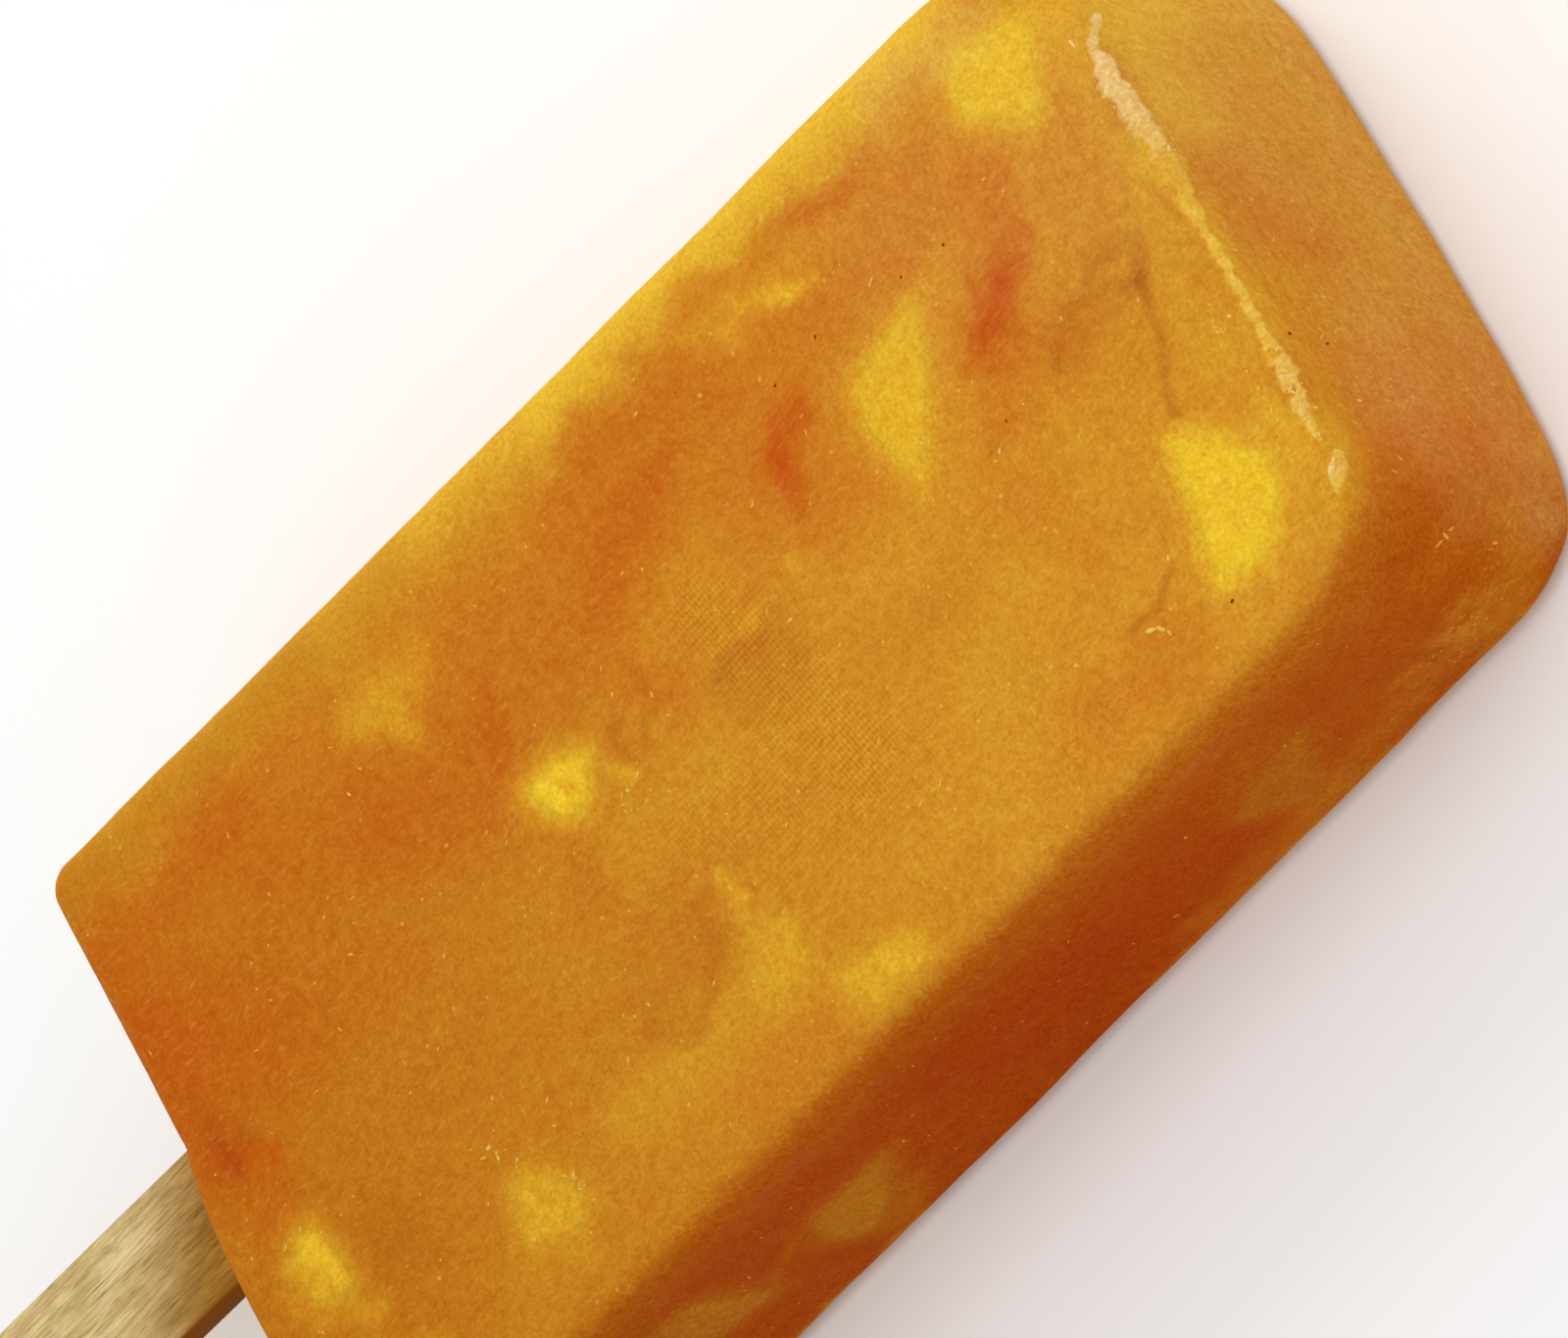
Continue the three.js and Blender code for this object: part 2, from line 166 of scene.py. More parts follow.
# Soft strokes on each face: half width (mm), how strongly it colours the ice, and the points that
# it runs through, along and across the face (mm)
MARKS = {
    "stain": {
        "front": [
            (9, 0.13, -46, 12, 44, 12), (2.2, 0.42, -49, 18.5, -42, 17.5, -34, 19.3),
            (3.6, 0.36, -50, 15, -48, 6), (4.4, 0.38, -46, 11, -40, 5), (4.6, 0.26, -34, 16, -26, 14.5),
            (1.2, 0.14, -37.2, 18.6, -36, 17.6), (1.2, 0.16, -35, 14.8, -34, 13.4),
            (1.7, 0.62, -47.6, 2.4, -46.8, 0.6), (1, 0.6, -47.4, 2.2, -46.9, 0.8),
            (2.6, 0.36, -49.5, 3, -46, -2.4), (0.9, 0.5, -44.3, 0, -43.8, -0.6),
            (3.6, 0.34, -24, 10, -16.5, 7), (3, 0.14, -34, 4, -28, 2),
            (1.1, 0.36, -11.9, 12, -12.6, 10, -13.3, 7.8), (1.4, 0.2, -30, 19.5, -24, 19.6),
            (6, 0.26, -14, 15, -6, 12.5, 2, 11.5), (2.5, 0.42, -0.4, 10.2, 2.3, 11.8, 6.1, 12.9),
            (0.7, 0.3, 9.9, 14.6, 8, 14.2, 6.9, 13.1), (2, 0.3, 4, 18.8, 13.5, 18),
            (1, 0.36, 15, 20.8, 18.5, 20.2, 22.6, 19.5, 29.6, 18.4), (3, 0.3, 0, 16.5, 12, 16),
            (1.8, 0.22, -1.4, 5.2, 0.6, 2.2), (0.7, 0.2, -1.6, 4.9, -0.9, 2.6),
            (1.3, 0.62, 18.5, 10.2, 17.5, 9.4, 16.4, 8.5), (0.7, 0.46, 16.4, 8.5, 16.3, 6.9, 16.1, 5.4),
            (2.2, 0.16, 17.5, 9.3, 15.9, 7), (0.6, 0.22, 15.1, 10.6, 14.1, 8.6),
            (4.4, 0.24, 12.5, 9, 18, 7), (2.4, 0.2, 17, 3, 22, 2.4), (3.4, 0.34, 17, 14.5, 34, 14),
            (2.2, 0.42, 37.1, 6.3, 33.9, 3.9), (1.9, 0.42, 36.6, 6, 34.6, 4.3),
            (1, 0.3, 35.6, 5.2, 33.4, 3.7), (1.2, 0.24, 39.2, 7.6, 32.4, 3.3),
            (1.6, 0.42, 35.4, 6.3, 33.5, 5.2), (0.5, 0.5, 34.5, 7.9, 33.7, 6.5),
            (0.7, 0.24, 38.9, 14.7, 37.4, 11.8), (0.9, 0.24, 40.3, 11.4, 38.6, 9.6),
            (2.4, 0.26, 38, 9, 41, 14), (2.6, 0.28, 33, 1, 38, 0), (3, 0.2, 31, -2, 30, -6),
            (2.2, 0.2, 32, 18, 38, 17.4), (0.8, 0.24, 26.5, 18.9, 33, 18.5),
            (1.8, 0.16, -12.5, -4, -11, 1), (2.8, 0.3, 27, -19.5, 34, -20),
            (2.6, 0.14, 28, -12, 32, -11), (1.8, 0.2, 28.5, 9, 31, 11),
            (2.4, 0.14, -8, -21.5, 14, -21.5),
        ],
        "tip": [
            (3.2, 0.32, 3, 19, 0, 16.5, -2, 13), (6.6, 0.36, -14, 16, -12, 5),
            (3.6, 0.3, -19, 15, -17, 6), (4, 0.12, 1, 12, 3, 7),
        ],
        "side": [(5, 0.24, 0, 11, 24, 8.5)],
    },
    "vein": {
        "front": [
            (0.7, 0.26, 4, 0.7, 10.4, 0.6), (2, 0.24, 5, -1, 9.6, -1.6), (1.2, 0.12, 6.5, -4, 9.8, -4),
            (2.6, 0.12, 16, -6, 20, -6),
            (0.5, 0.42, 46.4, 1.8, 45.8, -0.1, 45, -2.3, 44.3, -4.8, 43.1, -7, 42.7, -7.9),
            (0.5, 0.4, 44.6, -0.6, 45.4, -0.4), (0.35, 0.5, 42.4, -7.8, 43, -7.9),
            (0.6, 0.26, 36.4, 1.1, 40.5, 1.9, 45, 3),
            (0.5, 0.36, 37.1, -0.5, 38.5, 0.8, 40.8, 1.2, 43.4, 0.8, 45.6, -0.4),
            (0.7, 0.2, 38.5, -0.6, 44.8, 0), (0.5, 0.24, 43.1, 2.6, 45.7, 1.8),
            (0.7, 0.34, 45.9, 0.1, 45.3, -1.4), (0.4, 0.35, 49.2, 10.2, 49.1, 6, 49.5, 1.2),
            (0.5, 0.28, 47.9, -1, 48.6, -3.2), (0.4, 0.5, 31.6, -16.8, 34.6, -16.9, 36.8, -15.6),
            (0.7, 0.3, -6, -9.5, -5.4, -12.4, -8.4, -15, -11.4, -15.2, -13.4, -13),
            (3.4, 0.12, -12, -11, -7.5, -11), (0.5, 0.3, -5, 1.6, -4.3, 3.6),
            (0.5, 0.3, -3.6, 1.2, -2.2, 2.4), (2.2, 0.16, -39, -11, -37, -12.5),
            (0.4, 0.3, -24, -5.6, -23.6, -6.2), (1, 0.6, -47.7, 2.4, -46.7, 0.2),
            (1.2, 0.3, -47.4, 4.6, -47.6, 2.4), (0.8, 0.4, -45.4, 2.7, -44.8, 1.6),
            (2.4, 0.26, -49, 23.4, -14, 23.8), (1.8, 0.12, -49.5, 20, -49.5, 0),
        ],
    },
    "mango": {
        "front": [
            (1.5, 0.78, -45.3, -7.4, -44, -9.6), (1.3, 0.52, -27.6, -15.6, -26.8, -17.4),
            (1.2, 0.52, 4, -21.2, 5.8, -21.4), (1.5, 0.2, -22, 17.4, -15, 17),
            (1.5, 0.22, -20.5, 15.8, -17, 15.4), (1, 0.24, -19.2, 14.4, -18.4, 13.4),
            (0.75, 0.26, 17.4, 17.6, 22.6, 16.9), (0.55, 0.42, 21, 17, 24.6, 16.2),
            (0.6, 0.16, 14.8, 19.4, 14.6, 18.8), (0.7, 0.3, -2.9, -8.9, -2.7, -10, -3.2, -12.8),
            (0.6, 0.38, -7.4, 2.4, -6.4, 1.2, -5.5, 0.4), (0.8, 0.16, 7.8, 2.2, 9, 1.9),
            (0.6, 0.26, 12.7, 2.6, 13.3, 2.1), (2.6, 0.3, 45, -14, 48, -14.5),
            (1.8, 0.1, 39, -17.5, 43.5, -18.5), (2, 0.16, 46, -19, 49.5, -20.5),
            (1.4, 0.26, -44, -11.5, -43, -13.5), (1.5, 0.2, -47.6, -9, -46.5, -11),
            (1.4, 0.16, -28.5, -18.8, -26, -20), (1.2, 0.16, 29, 9, 32.5, 9.8),
            (0.8, 0.22, 25, 1.5, 24.4, -0.2), (1.8, 0.2, 46.5, 16, 48.5, 17.5),
        ],
        "side": [
            (0.6, 0.28, -24.6, 9.6, -22.4, 10.8, -19, 11.3), (2, 0.4, -17.5, 4, -14.5, 6.5),
            (1.2, 0.36, -12.5, 10.4, -10, 11.4), (1.3, 0.5, 24.4, 9.6, 25.8, 6.8),
            (1.8, 0.2, 26, 12, 31, 14.5),
        ],
    },
    # Painted light: a gold glow where light falls on and shines through the ice, as along the front's left
    # edge, on the left face, on the tip and low on the side
    "glow": {
        "front": [
            (2.6, 0.03, -50, 24.5, -40, 24.3), (2.6, 0.2, -42, 24.4, -20, 24),
            (2.6, 0.56, -20, 24.2, 2, 23.6), (1.9, 1, 2, 23.8, 40, 23.3), (2.2, 0.3, 30, 22, 42, 21.4),
            (1.4, 0.34, 2, 22.4, 26, 22.2), (4.2, 0.08, -30, -21, -10, -19, 18, -19.5, 38, -20),
            (2.4, 0.2, -18, -16.5, -4, -16.5), (2.8, 0.16, -8, -3, 9, -4),
            (3.4, 0.2, 22, -12.5, 28, -10), (2.4, 0.14, 46.5, 1, 46.5, -6),
            (2.2, 0.28, 48, -8, 48.5, -16), (1, 0.25, 48.8, 14, 48.8, 3), (3.2, 0.22, 1, 8, 7, 8),
            (1, 0.4, 49.8, 5, 50, 0.6), (0.9, 0.6, 49.4, 7, 49.8, 3.4),
        ],
        "tip": [
            (3.6, 0.5, 17, 14, 16, 20), (3, 0.48, 8, 17, 14, 17.5), (1.4, 0.3, -17, 19.5, -10, 19.5),
            (0.9, 0.3, -9, 20.8, 5, 21), (1.3, 0.3, 4, 20.5, 9, 19.5), (1.6, 0.3, -24.5, 5, -22, 2.4),
            (2.4, 0.26, -22.5, 4, -22.5, 11), (1.5, 0.4, -21.5, 21.4, -15, 21),
        ],
        "left": [(12, 0.55, 44, 11, -40, 11)],
        "side": [
            (0.9, 0.42, -45, 1.2, -17, 1.2), (0.9, 0.32, 8, 1.2, 44, 1.2), (2, 0.2, 14, 2.8, 27, 3.2),
            (1.8, 0.16, 26, 4, 41, 5.2), (2.4, 0.28, 43, 4, 47, 5),
            (0.7, 0.3, 41, 7.6, 44, 8.4, 46, 7.8, 48.3, 8.2), (0.7, 0.26, 41, 6.2, 47.2, 6.6),
            (0.8, 0.2, 36.6, 7.6, 38.4, 7), (1.6, 0.08, 44, 17, 47, 13),
        ],
    },
    "mesh": {
        "front": [
            (3.2, 0.36, 5.5, 4, 8, -1, 10.5, -9), (2.6, 0.2, -4, -5, 4, -6),
            (3.2, 0.18, 2, -10, 14, -13),
        ],
    },
    "rime": {
        "tip": [
            (8, 0.05, 4, 11, 18, 11), (3, 0.07, -20, 2.4, 18, 2.4), (3.5, 0.06, -14, 14, -9, 12),
            (2, 0.08, -23.5, 5, -22, 3), (4, 0.04, -18, 9, -6, 7),
        ],
        "front": [(8, 0.035, 34, 14, 46, 8), (2, 0.07, 36, 21.5, 44, 20)],
    },
}
STROKE_FADE = (0.2, 1.7)  # where a stroke starts to fade and has gone, in half widths

# The marks' borders wander: places are shifted by seeded waves before a mark is looked up
WANDER = (2.2 * MM, 8 * MM, 24)  # shortest, longest, how many
WANDER_SHIFT = 0.26 * MM

# Painted shade: a deeper, redder colour where the ice lies in its own shade, on the side and the base's end
# turned from the light, and where light passes through more of it
SHADE_ROUND_END = (0.12, 1.02)  # over the root of how far the outline has turned from tip to side
SHADE_OVER_EDGE = (0.34, 1.0)  # how far the edge has turned down from the front
SHADE_UNDER_FRONT = (1.5 * MM, 6.5 * MM, 0.2)  # it goes on deepening by this share under the edge
SHADE_MIDDLE = (6 * MM, 40 * MM, 0.12)  # it is deepest in the middle of the length, and fades off
SHADE_LIT = 0.8  # how much of it goes where light comes through
SHADE_BASE = 0.45
SHADE_TIP = 0.06
SHADE_ENDS = (0.2, 0.9)  # how far the skin has turned to the base or the tip

# ---- Frost along the tip's front edge, and loose flecks of it ----

# The crusts, each along the edge: Y, where it starts and ends across the edge (less is nearer the
# front), its height (mm), and how much gold and white it shows and how broken it is
FROST_CRUSTS = {
    "tip_frost": [
        (17, 2.25, 2.35, 0, 0.3, 0, 0), (16.6, 1.75, 2.45, 0.06, 0.4, 0.71, 0),
        (16, 1.1, 2.2, 0.06, 0.4, 0.5, 0), (15.3, 0.35, 1.5, 0.07, 0.4, 0.42, 0),
        (14.6, -0.3, 0.9, 0.08, 0.4, 0.46, 0), (14, -0.6, 0.4, 0.08, 0.45, 0.46, 0),
        (13.2, -0.75, 0.65, 0.12, 0.5, 0.54, 0), (12, -1.25, 0.85, 0.14, 0.5, 0.58, 0),
        (11, -1.4, 1, 0.15, 0.5, 0.6, 0), (10, -1.35, 1.1, 0.15, 0.5, 0.58, 0),
        (9, -1.2, 1.15, 0.15, 0.55, 0.54, 0.1), (8, -1.1, 1.2, 0.14, 0.65, 0.49, 0.2),
        (7, -0.95, 1.25, 0.13, 0.75, 0.42, 0.3), (6, -0.85, 1.35, 0.13, 0.85, 0.35, 0.4),
        (5, -0.95, 1.6, 0.13, 0.9, 0.13, 0.2), (4.2, -1, 1.75, 0.12, 0.9, 0.07, 0),
        (3.2, -1, 1.4, 0.11, 0.9, 0.06, 0), (2.2, -0.85, 0.95, 0.1, 0.95, 0.06, 0),
        (1, -0.75, 0.6, 0.09, 0.95, 0.07, 0), (-1, -0.55, 0.35, 0.09, 0.95, 0.16, 0.5),
        (-3, -0.5, 0.4, 0.09, 0.9, 0.12, 0.6), (-5, -0.55, 0.3, 0.09, 0.95, 0.2, 0.7),
        (-7, -0.5, 0.35, 0.09, 0.95, 0.18, 0.6), (-8.8, -0.5, 0.35, 0.09, 0.95, 0.16, 0.7),
        (-9.6, -0.8, 0.4, 0.1, 1, 0.12, 0.8), (-11.2, -0.85, 0.85, 0.12, 1, 0.28, 1),
        (-12.6, -0.95, 0.8, 0.12, 1, 0.32, 1), (-14, -0.85, 0.5, 0.12, 1, 0.32, 1),
        (-15.3, -0.95, 0.25, 0.11, 1, 0.3, 1), (-16.5, -0.6, 0.1, 0.09, 1, 0.14, 1),
        (-17.4, -0.35, 0, 0, 0.7, 0, 1),
    ],
    "frost_chip": [
        (-18.05, 0.5, 0.6, 0, 1, 0.14, 0), (-18.4, 0.05, 1.1, 0.14, 1, 0.15, 0),
        (-19, -0.3, 1.25, 0.2, 1, 0.15, 0), (-19.6, -0.5, 1.05, 0.2, 1, 0.15, 0),
        (-20.1, -0.52, 0.6, 0.18, 1, 0.15, 0), (-20.6, -0.48, 0.1, 0.14, 1, 0.15, 0),
        (-21, -0.38, -0.25, 0, 1, 0.14, 0),
    ],
    "chip_crest": [
        (-18.45, 0.1, 0.2, 0, 1, 0.3, 0), (-18.8, -0.14, 0.3, 0.24, 1, 0.6, 0),
        (-19.3, -0.42, 0.1, 0.26, 1, 0.64, 0), (-19.8, -0.52, -0.15, 0.22, 1, 0.5, 0),
        (-20.3, -0.5, -0.35, 0, 1, 0.3, 0),
    ],
}
FROST_STEP = 0.055 * MM
FROST_ACROSS = 34
FROST_FOOT_COLUMNS = slice(-4, 0, -6)  # its underside runs back under every sixth of its columns
FROST_MARGIN = 0.4 * MM  # it is this much wider than its colour on both sides
FROST_LEAST = 0.05 * MM  # half the width of its colour counts as no less than this
FROST_SUNK = 0.04 * MM  # its borders dip under the skin by this much
FROST_FOOT = 0.3 * MM
FROST_RAGGED = (0.7 * MM, 4 * MM, 12)  # its borders' waves: shortest, longest, how many
FROST_RAGGED_SHARE = 0.2  # of its reach
FROST_CRYSTALS = (0.2 * MM, 0.6 * MM, 70)
FROST_CRYSTALS_SHARE = 0.16  # of its height
FROST_COMB = np.array([(0.5, -0.3, 0), (0, 1, 0), (0, 0.3, 0.5)])  # crystals lean across the edge
FROST_GAPS = (0.8 * MM, 2.2 * MM, 70)
FROST_WHOLE = (-0.9, 0.5)  # the waves' heights between which a gap closes
FROST_IN_GAPS = {"height": 0.4, "gold": 0.5}  # what is left of it there
FROST_FADE = (0.5, 1.1)  # across it, from its middle to where its colour has faded off
FROST_DUST = (0.25, 0.5)  # how much white hollows lose, and how much more where it is broken
FROST_HOLLOWS = (-1.6, 1.2)  # the crystals' heights between which a hollow ends

# Grains on the first crust: from and to along Y (mm), how many, how long (mm), how flat to the
# edge they lie (spread in radians), and how white they are at most
GRAINS = [
    (13.6, 5, 50, (0.2, 0.4), 1, 0.85), (16.8, 14, 14, (0.2, 0.4), 0.5, 0.85),
    (5, -9, 30, (0.15, 0.35), 0.6, 0.22), (-9, -17.2, 60, (0.25, 0.9), 0.5, 0.3),
]
GRAIN_WIDTH = (0.14 * MM, 0.28 * MM)
GRAIN_HEIGHT = (0.015 * MM, 0.045 * MM)
GRAIN_TINTS = (0.3, 1)  # shares of their white
GRAIN_REACH = 0.9  # of the crust's half width
GRAIN_AT_RIM = 0.4  # of their height and white

# Flecks: face, from, to (mm), how far they stray (mm), and how many
FLECKS = [
    ("front", (-47, 0), (46, 0), 21, 120), ("front", (-29, -11.5), (-27.5, -13), 0.7, 6),
    ("front", (-25, -15), (-23.5, -18), 0.9, 8), ("front", (-7, -0.5), (-4, 1), 1, 6),
    ("front", (46.5, -15.5), (48.6, -9.5), 1.2, 22), ("front", (47.6, -8), (48.6, -5), 0.6, 6),
    ("front", (-47.5, -6.3), (-45.5, -5.8), 0.6, 3), ("side", (-46, 11), (46, 11), 8, 34),
    ("side", (-30, 11), (-23, 13), 2, 12), ("side", (39, 5.5), (48, 7), 1.8, 26),
    ("left", (-44, 11), (40, 11), 8, 50), ("back", (-46, 0), (46, 0), 20, 120),
    ("tip", (-19, 10), (19, 10), 7.5, 100), ("tip", (-18, 16.5), (-4, 17), 3, 30),
]
# How they lie on each face: the least and the most along and across it (mm), where most of them
# point (degrees), and how much of the painted shade they take on that face
FLECK_FACES = {
    "front": ((-49, -22), (48.5, 21.5), 0, 0),
    "back": ((-49, -22), (48.5, 21.5), 0, 0),
    "side": ((-49, 3), (48.5, 19.5), 60, 0.55),
    "left": ((-48.5, 3), (49, 19.5), 60, 0),
    "tip": ((-22, 3), (22, 19.5), 110, 0.3),
}
FLECK_LENGTH = (0.2 * MM, 0.6 * MM)
FLECK_WIDTH = (0.1 * MM, 0.2 * MM)
FLECK_HEIGHT = 0.014 * MM
FLECK_LEAN = 0.7  # spread of their directions, in radians
FLECK_WHITE = 0.14
FLECK_TINTS = (0.2, 1)  # shares of that white
FLECK_GLOW = 0.7  # how golden they are
# Dark specks of fruit skin are darkened by taking this share of the painted shade's tint
SPECK_DARKENING = 0.9  # how much of the deep tint a dark speck takes
LENS_SIDES = 8

# Chips and specks that stand out on a face: place, length and width (mm), direction in degrees,
# and how white they are, or -1 for a dark speck of skin
CHIPS = {
    "front": [
        (-28.8, -11, 0.45, 0.25, 20, 0.28), (-28.5, -12, 0.35, 0.25, 70, 0.28),
        (-27.3, -13, 0.4, 0.2, 30, 0.22), (-24, -16.5, 0.55, 0.25, 50, 0.17),
        (-46.8, -6, 0.6, 0.25, 35, 0.17), (-45, -5.8, 0.5, 0.25, 60, 0.17),
        (-4.8, 0.1, 0.5, 0.2, 40, 0.22), (-0.9, 3.3, 0.5, 0.15, 80, 0.11),
        (12.6, 7.6, 0.4, 0.15, 10, 0.17), (28.4, 12.6, 0.8, 0.16, 25, 0.17),
        (25.8, -14.5, 0.4, 0.2, 0, 0.22), (27.4, -15.6, 0.35, 0.2, 30, 0.22),
        (37, -14.8, 0.35, 0.2, 60, 0.22), (22.6, -13.4, 0.3, 0.2, 10, 0.17),
        (30.4, -1.8, 0.35, 0.2, 45, 0.22), (28.8, -4, 0.35, 0.2, 20, 0.17),
        (33.3, -17.4, 0.9, 0.3, -25, 0.25), (34, -17.8, 0.8, 0.28, -50, 0.22),
        (34.4, -18.4, 0.5, 0.22, -80, 0.17), (18.5, 12.3, 0.3, 0.2, 30, -1),
        (22.8, 12.7, 0.35, 0.2, 60, -1), (34.3, 10.8, 0.28, 0.2, 0, -1),
        (30.5, 11.3, 0.25, 0.18, 40, -1), (31.9, -0.7, 0.26, 0.18, 70, -1),
        (39.4, -19.8, 0.35, 0.26, 20, -1),
    ],
    "tip": [
        (-22.26, 13.05, 0.8, 0.2, 130, 0.1), (-21.92, 12.55, 0.8, 0.24, 60, 0.15),
        (-21.6, 12, 0.6, 0.22, 110, 0.1), (-22.23, 7.7, 0.5, 0.24, 100, 0.2),
        (-18.5, 16.5, 0.6, 0.16, 70, 0.1), (-17.6, 15.6, 0.6, 0.2, 40, 0.1),
        (-15.2, 18.1, 0.4, 0.18, 60, 0.2), (-13.6, 16.7, 0.45, 0.24, 80, 0.25),
        (-15.5, 11.7, 0.4, 0.2, 30, 0.1), (-6, 14.7, 0.5, 0.16, 80, 0.15),
        (-2.6, 20.6, 0.3, 0.2, 90, 0.2), (4, 12.4, 0.4, 0.14, 70, 0.15),
        (6.3, 17.2, 0.5, 0.14, 60, 0.2), (-8.8, 19.8, 0.4, 0.22, 110, -1),
        (-9.5, 16.8, 0.4, 0.18, 110, -1),
    ],
    "side": [
        (22.1, 13.3, 0.4, 0.24, 70, 0.1), (13.9, 6.4, 0.6, 0.3, 110, 0), (2.9, 4.6, 0.3, 0.2, 0, 0.1),
        (-6.1, 12.8, 0.4, 0.22, 30, 0), (-8.9, 11.1, 0.4, 0.24, 60, 0.1),
        (-23.3, 12.6, 0.8, 0.14, 60, 0.1), (44.2, 6.1, 1, 0.16, 20, 0),
        (45.5, 6.3, 0.9, 0.18, -25, 0.05), (43.4, 7.5, 0.8, 0.14, 10, 0), (46, 5.2, 0.7, 0.16, -40, 0),
    ],
}

# Chips on the tip's edge: Y, place across the edge, direction in degrees, length, width, height
# (mm) and how white they are
EDGE_CHIPS = [
    (15.2, -1.2, 8, 0.7, 0.2, 0.03, 0.6), (-2.8, 1.3, 60, 0.4, 0.22, 0.03, 0.2),
    (-6.3, 1, 75, 0.5, 0.14, 0.03, 0.2), (-6.6, -1.6, 40, 0.4, 0.2, 0.03, 0.4),
    (-15, 0.7, 60, 0.4, 0.2, 0.03, 0.3),
]

# ---- The stick ----

STICK_TURN = np.radians(-0.9)
STICK_STEPS = 150
STICK_END_STEPS = 40
STICK_FACE_ROWS = 16
STICK_EDGE_ROWS = 5
STICK_WALL_ROWS = 5
# Painted shadow of the block on the wood: how far in front of the ice it starts and is full, and
# how much farther it reaches near the edge in the shade, by the distance from the middle
SHADOW_RUN = (16 * MM, 4.6 * MM)
SHADOW_SLANT = 0.75
# Painted shade on its edge, dark brown over the outer half of its round, and farther in on the side in the
# shade
EDGE_SHADE_SHARE = 0.5
EDGE_SHADE_REACH = 0.7
STICK_GROOVE = 0.012 * MM
STICK_DROP = 0.01 * MM  # how much sanding has thinned each face
GROOVES = 12
GROOVE_PITCH = (0.5, 2.4)  # mm
GROOVE_BENDS = [(0.25 * MM, 17 * MM), (0.1 * MM, 6 * MM)]  # how far they swing, and over what run

# ---- Camera and light ----

CAMERA_TARGET = Vector((0.66, 3.97, 11.0)) * MM
CAMERA_DISTANCE = 800 * MM
CAMERA_ANGLES = (53.85, 48.27, -90.77)  # azimuth, elevation and roll in degrees
CAMERA_LENS = 296.4
CAMERA_SENSOR = 36
CAMERA_CLIP = (0.01, 100)

# Where each lamp hangs (m), its width (m) and its power (W)
LAMPS = {
    "window": ((-0.10, 0.85, 0.52), 0.7, 2.8),
    "overhead": ((0.25, -0.05, 0.95), 0.8, 2.4),
    "tip_fill": ((0.85, -0.10, 0.40), 0.6, 0.7),
}
SKY_STRENGTH = 0.7
FLOOR_SIZE = 6.0


def linear(code):
    """Turns an sRGB hex colour into the linear values that Blender's sockets take."""
    shares = np.array([int(code[i : i + 2], 16) for i in (1, 3, 5)]) / 255
    return tuple(np.where(shares <= 0.04045, shares / 12.92, ((shares + 0.055) / 1.055) ** 2.4).tolist())


def length_setting(name, description, default):
    return FloatProperty(name=name, description=description, default=default, min=0, max=1, unit="LENGTH")


def colour_setting(name, description, code):
    return FloatVectorProperty(
        name=name, description=description, default=linear(code), size=3, min=0, max=1, subtype="COLOR"
    )


class LollySizes(PropertyGroup):
    """Sizes of the lolly that a user would change."""

    length: length_setting("Length", "From the base to the crest of the tip", 102.4 * MM)
    base_width: length_setting("Base width", "Across the base, beside the stick", 51.6 * MM)
    tip_width: length_setting("Tip width", "Across the tip, where the mould is narrower", 48.5 * MM)
    base_thickness: length_setting("Base thickness", "From back to front at the base", 22.7 * MM)
    tip_thickness: length_setting("Tip thickness", "From back to front at the tip", 22.0 * MM)
    long_edge: length_setting("Long edge", "Radius of the long edges and base corners", 2.35 * MM)
    tip_edge: length_setting("Tip edge", "Radius of the crisper edges of the tip", 1.2 * MM)
    stick_width: length_setting("Stick width", "Across the flat of the stick", 9.8 * MM)
    stick_edge: length_setting("Stick edge", "How far the stick's edges are worn round", 0.34 * MM)


class LollyColours(PropertyGroup):
    """Colours of the lolly that a user would change."""

    amber: colour_setting("Amber", "Mango ice near the base", "#BE7418")
    honey: colour_setting("Honey", "Mango ice near the tip", "#D19028")
    rust: colour_setting("Rust", "Clouds of darker pulp in the ice", "#B4600F")
    ember: colour_setting("Ember", "Red-orange stains of ripe pulp", "#BF4C10")
    umber: colour_setting("Umber", "Thin brown fibres and veins", "#A85211")
    # Painted light: gold paints the glow where light comes through lit edges and faces; frost and flecks
    # also take it as their own golden colour
    gold: colour_setting("Gold", "Edges that glow with light from behind", "#E2B430")
    flesh: colour_setting("Mango flesh", "The diced mango", "#EFC52E")
    # Painted shade: the diced mango's colour where the painted shade lies on it
    shaded_flesh: colour_setting("Deep mango", "Diced mango in the ice's own shade", "#B67010")
    fibre: colour_setting("Fibre", "Short pale fibres and flecks of pulp", "#EFC060")
    # Painted shade: the tint that multiplies the ice's colour where it lies in its own shade
    painted_shade: colour_setting("Deep tint", "What shade and depth take out of the ice", "#D8850B")
    rime: colour_setting("Rime", "White frost crystals", "#F4D89E")
    wood: colour_setting("Birch", "The stick's pale wood", "#E2CD97")
    grain: colour_setting("Birch grain", "The darker lines of its grain", "#A6863F")
    pore: colour_setting("Birch pores", "Short dark pores between them", "#7A5C2C")
    # Painted shadow: what the block's shadow, warmed by light off the ice, takes out of the wood
    block_shadow_tint: colour_setting("Soaked birch", "What melt and shade take out of the wood", "#C29C54")
    # Painted shade: the dark brown of the stick's edge in shade, warmed by orange light off the ice
    shaded_edge: colour_setting("Cut edge", "The stick's browned cut edge", "#7C4405")
    floor: colour_setting("Floor", "The pale floor under it", "#FAFAF9")


# ---- Shapes ----


def smoothstep(x, low, high):
    """0 up to low, 1 from high, and an even S between them."""
    share = np.clip((x - low) / (high - low), 0, 1)
    return share * share * (3 - 2 * share)


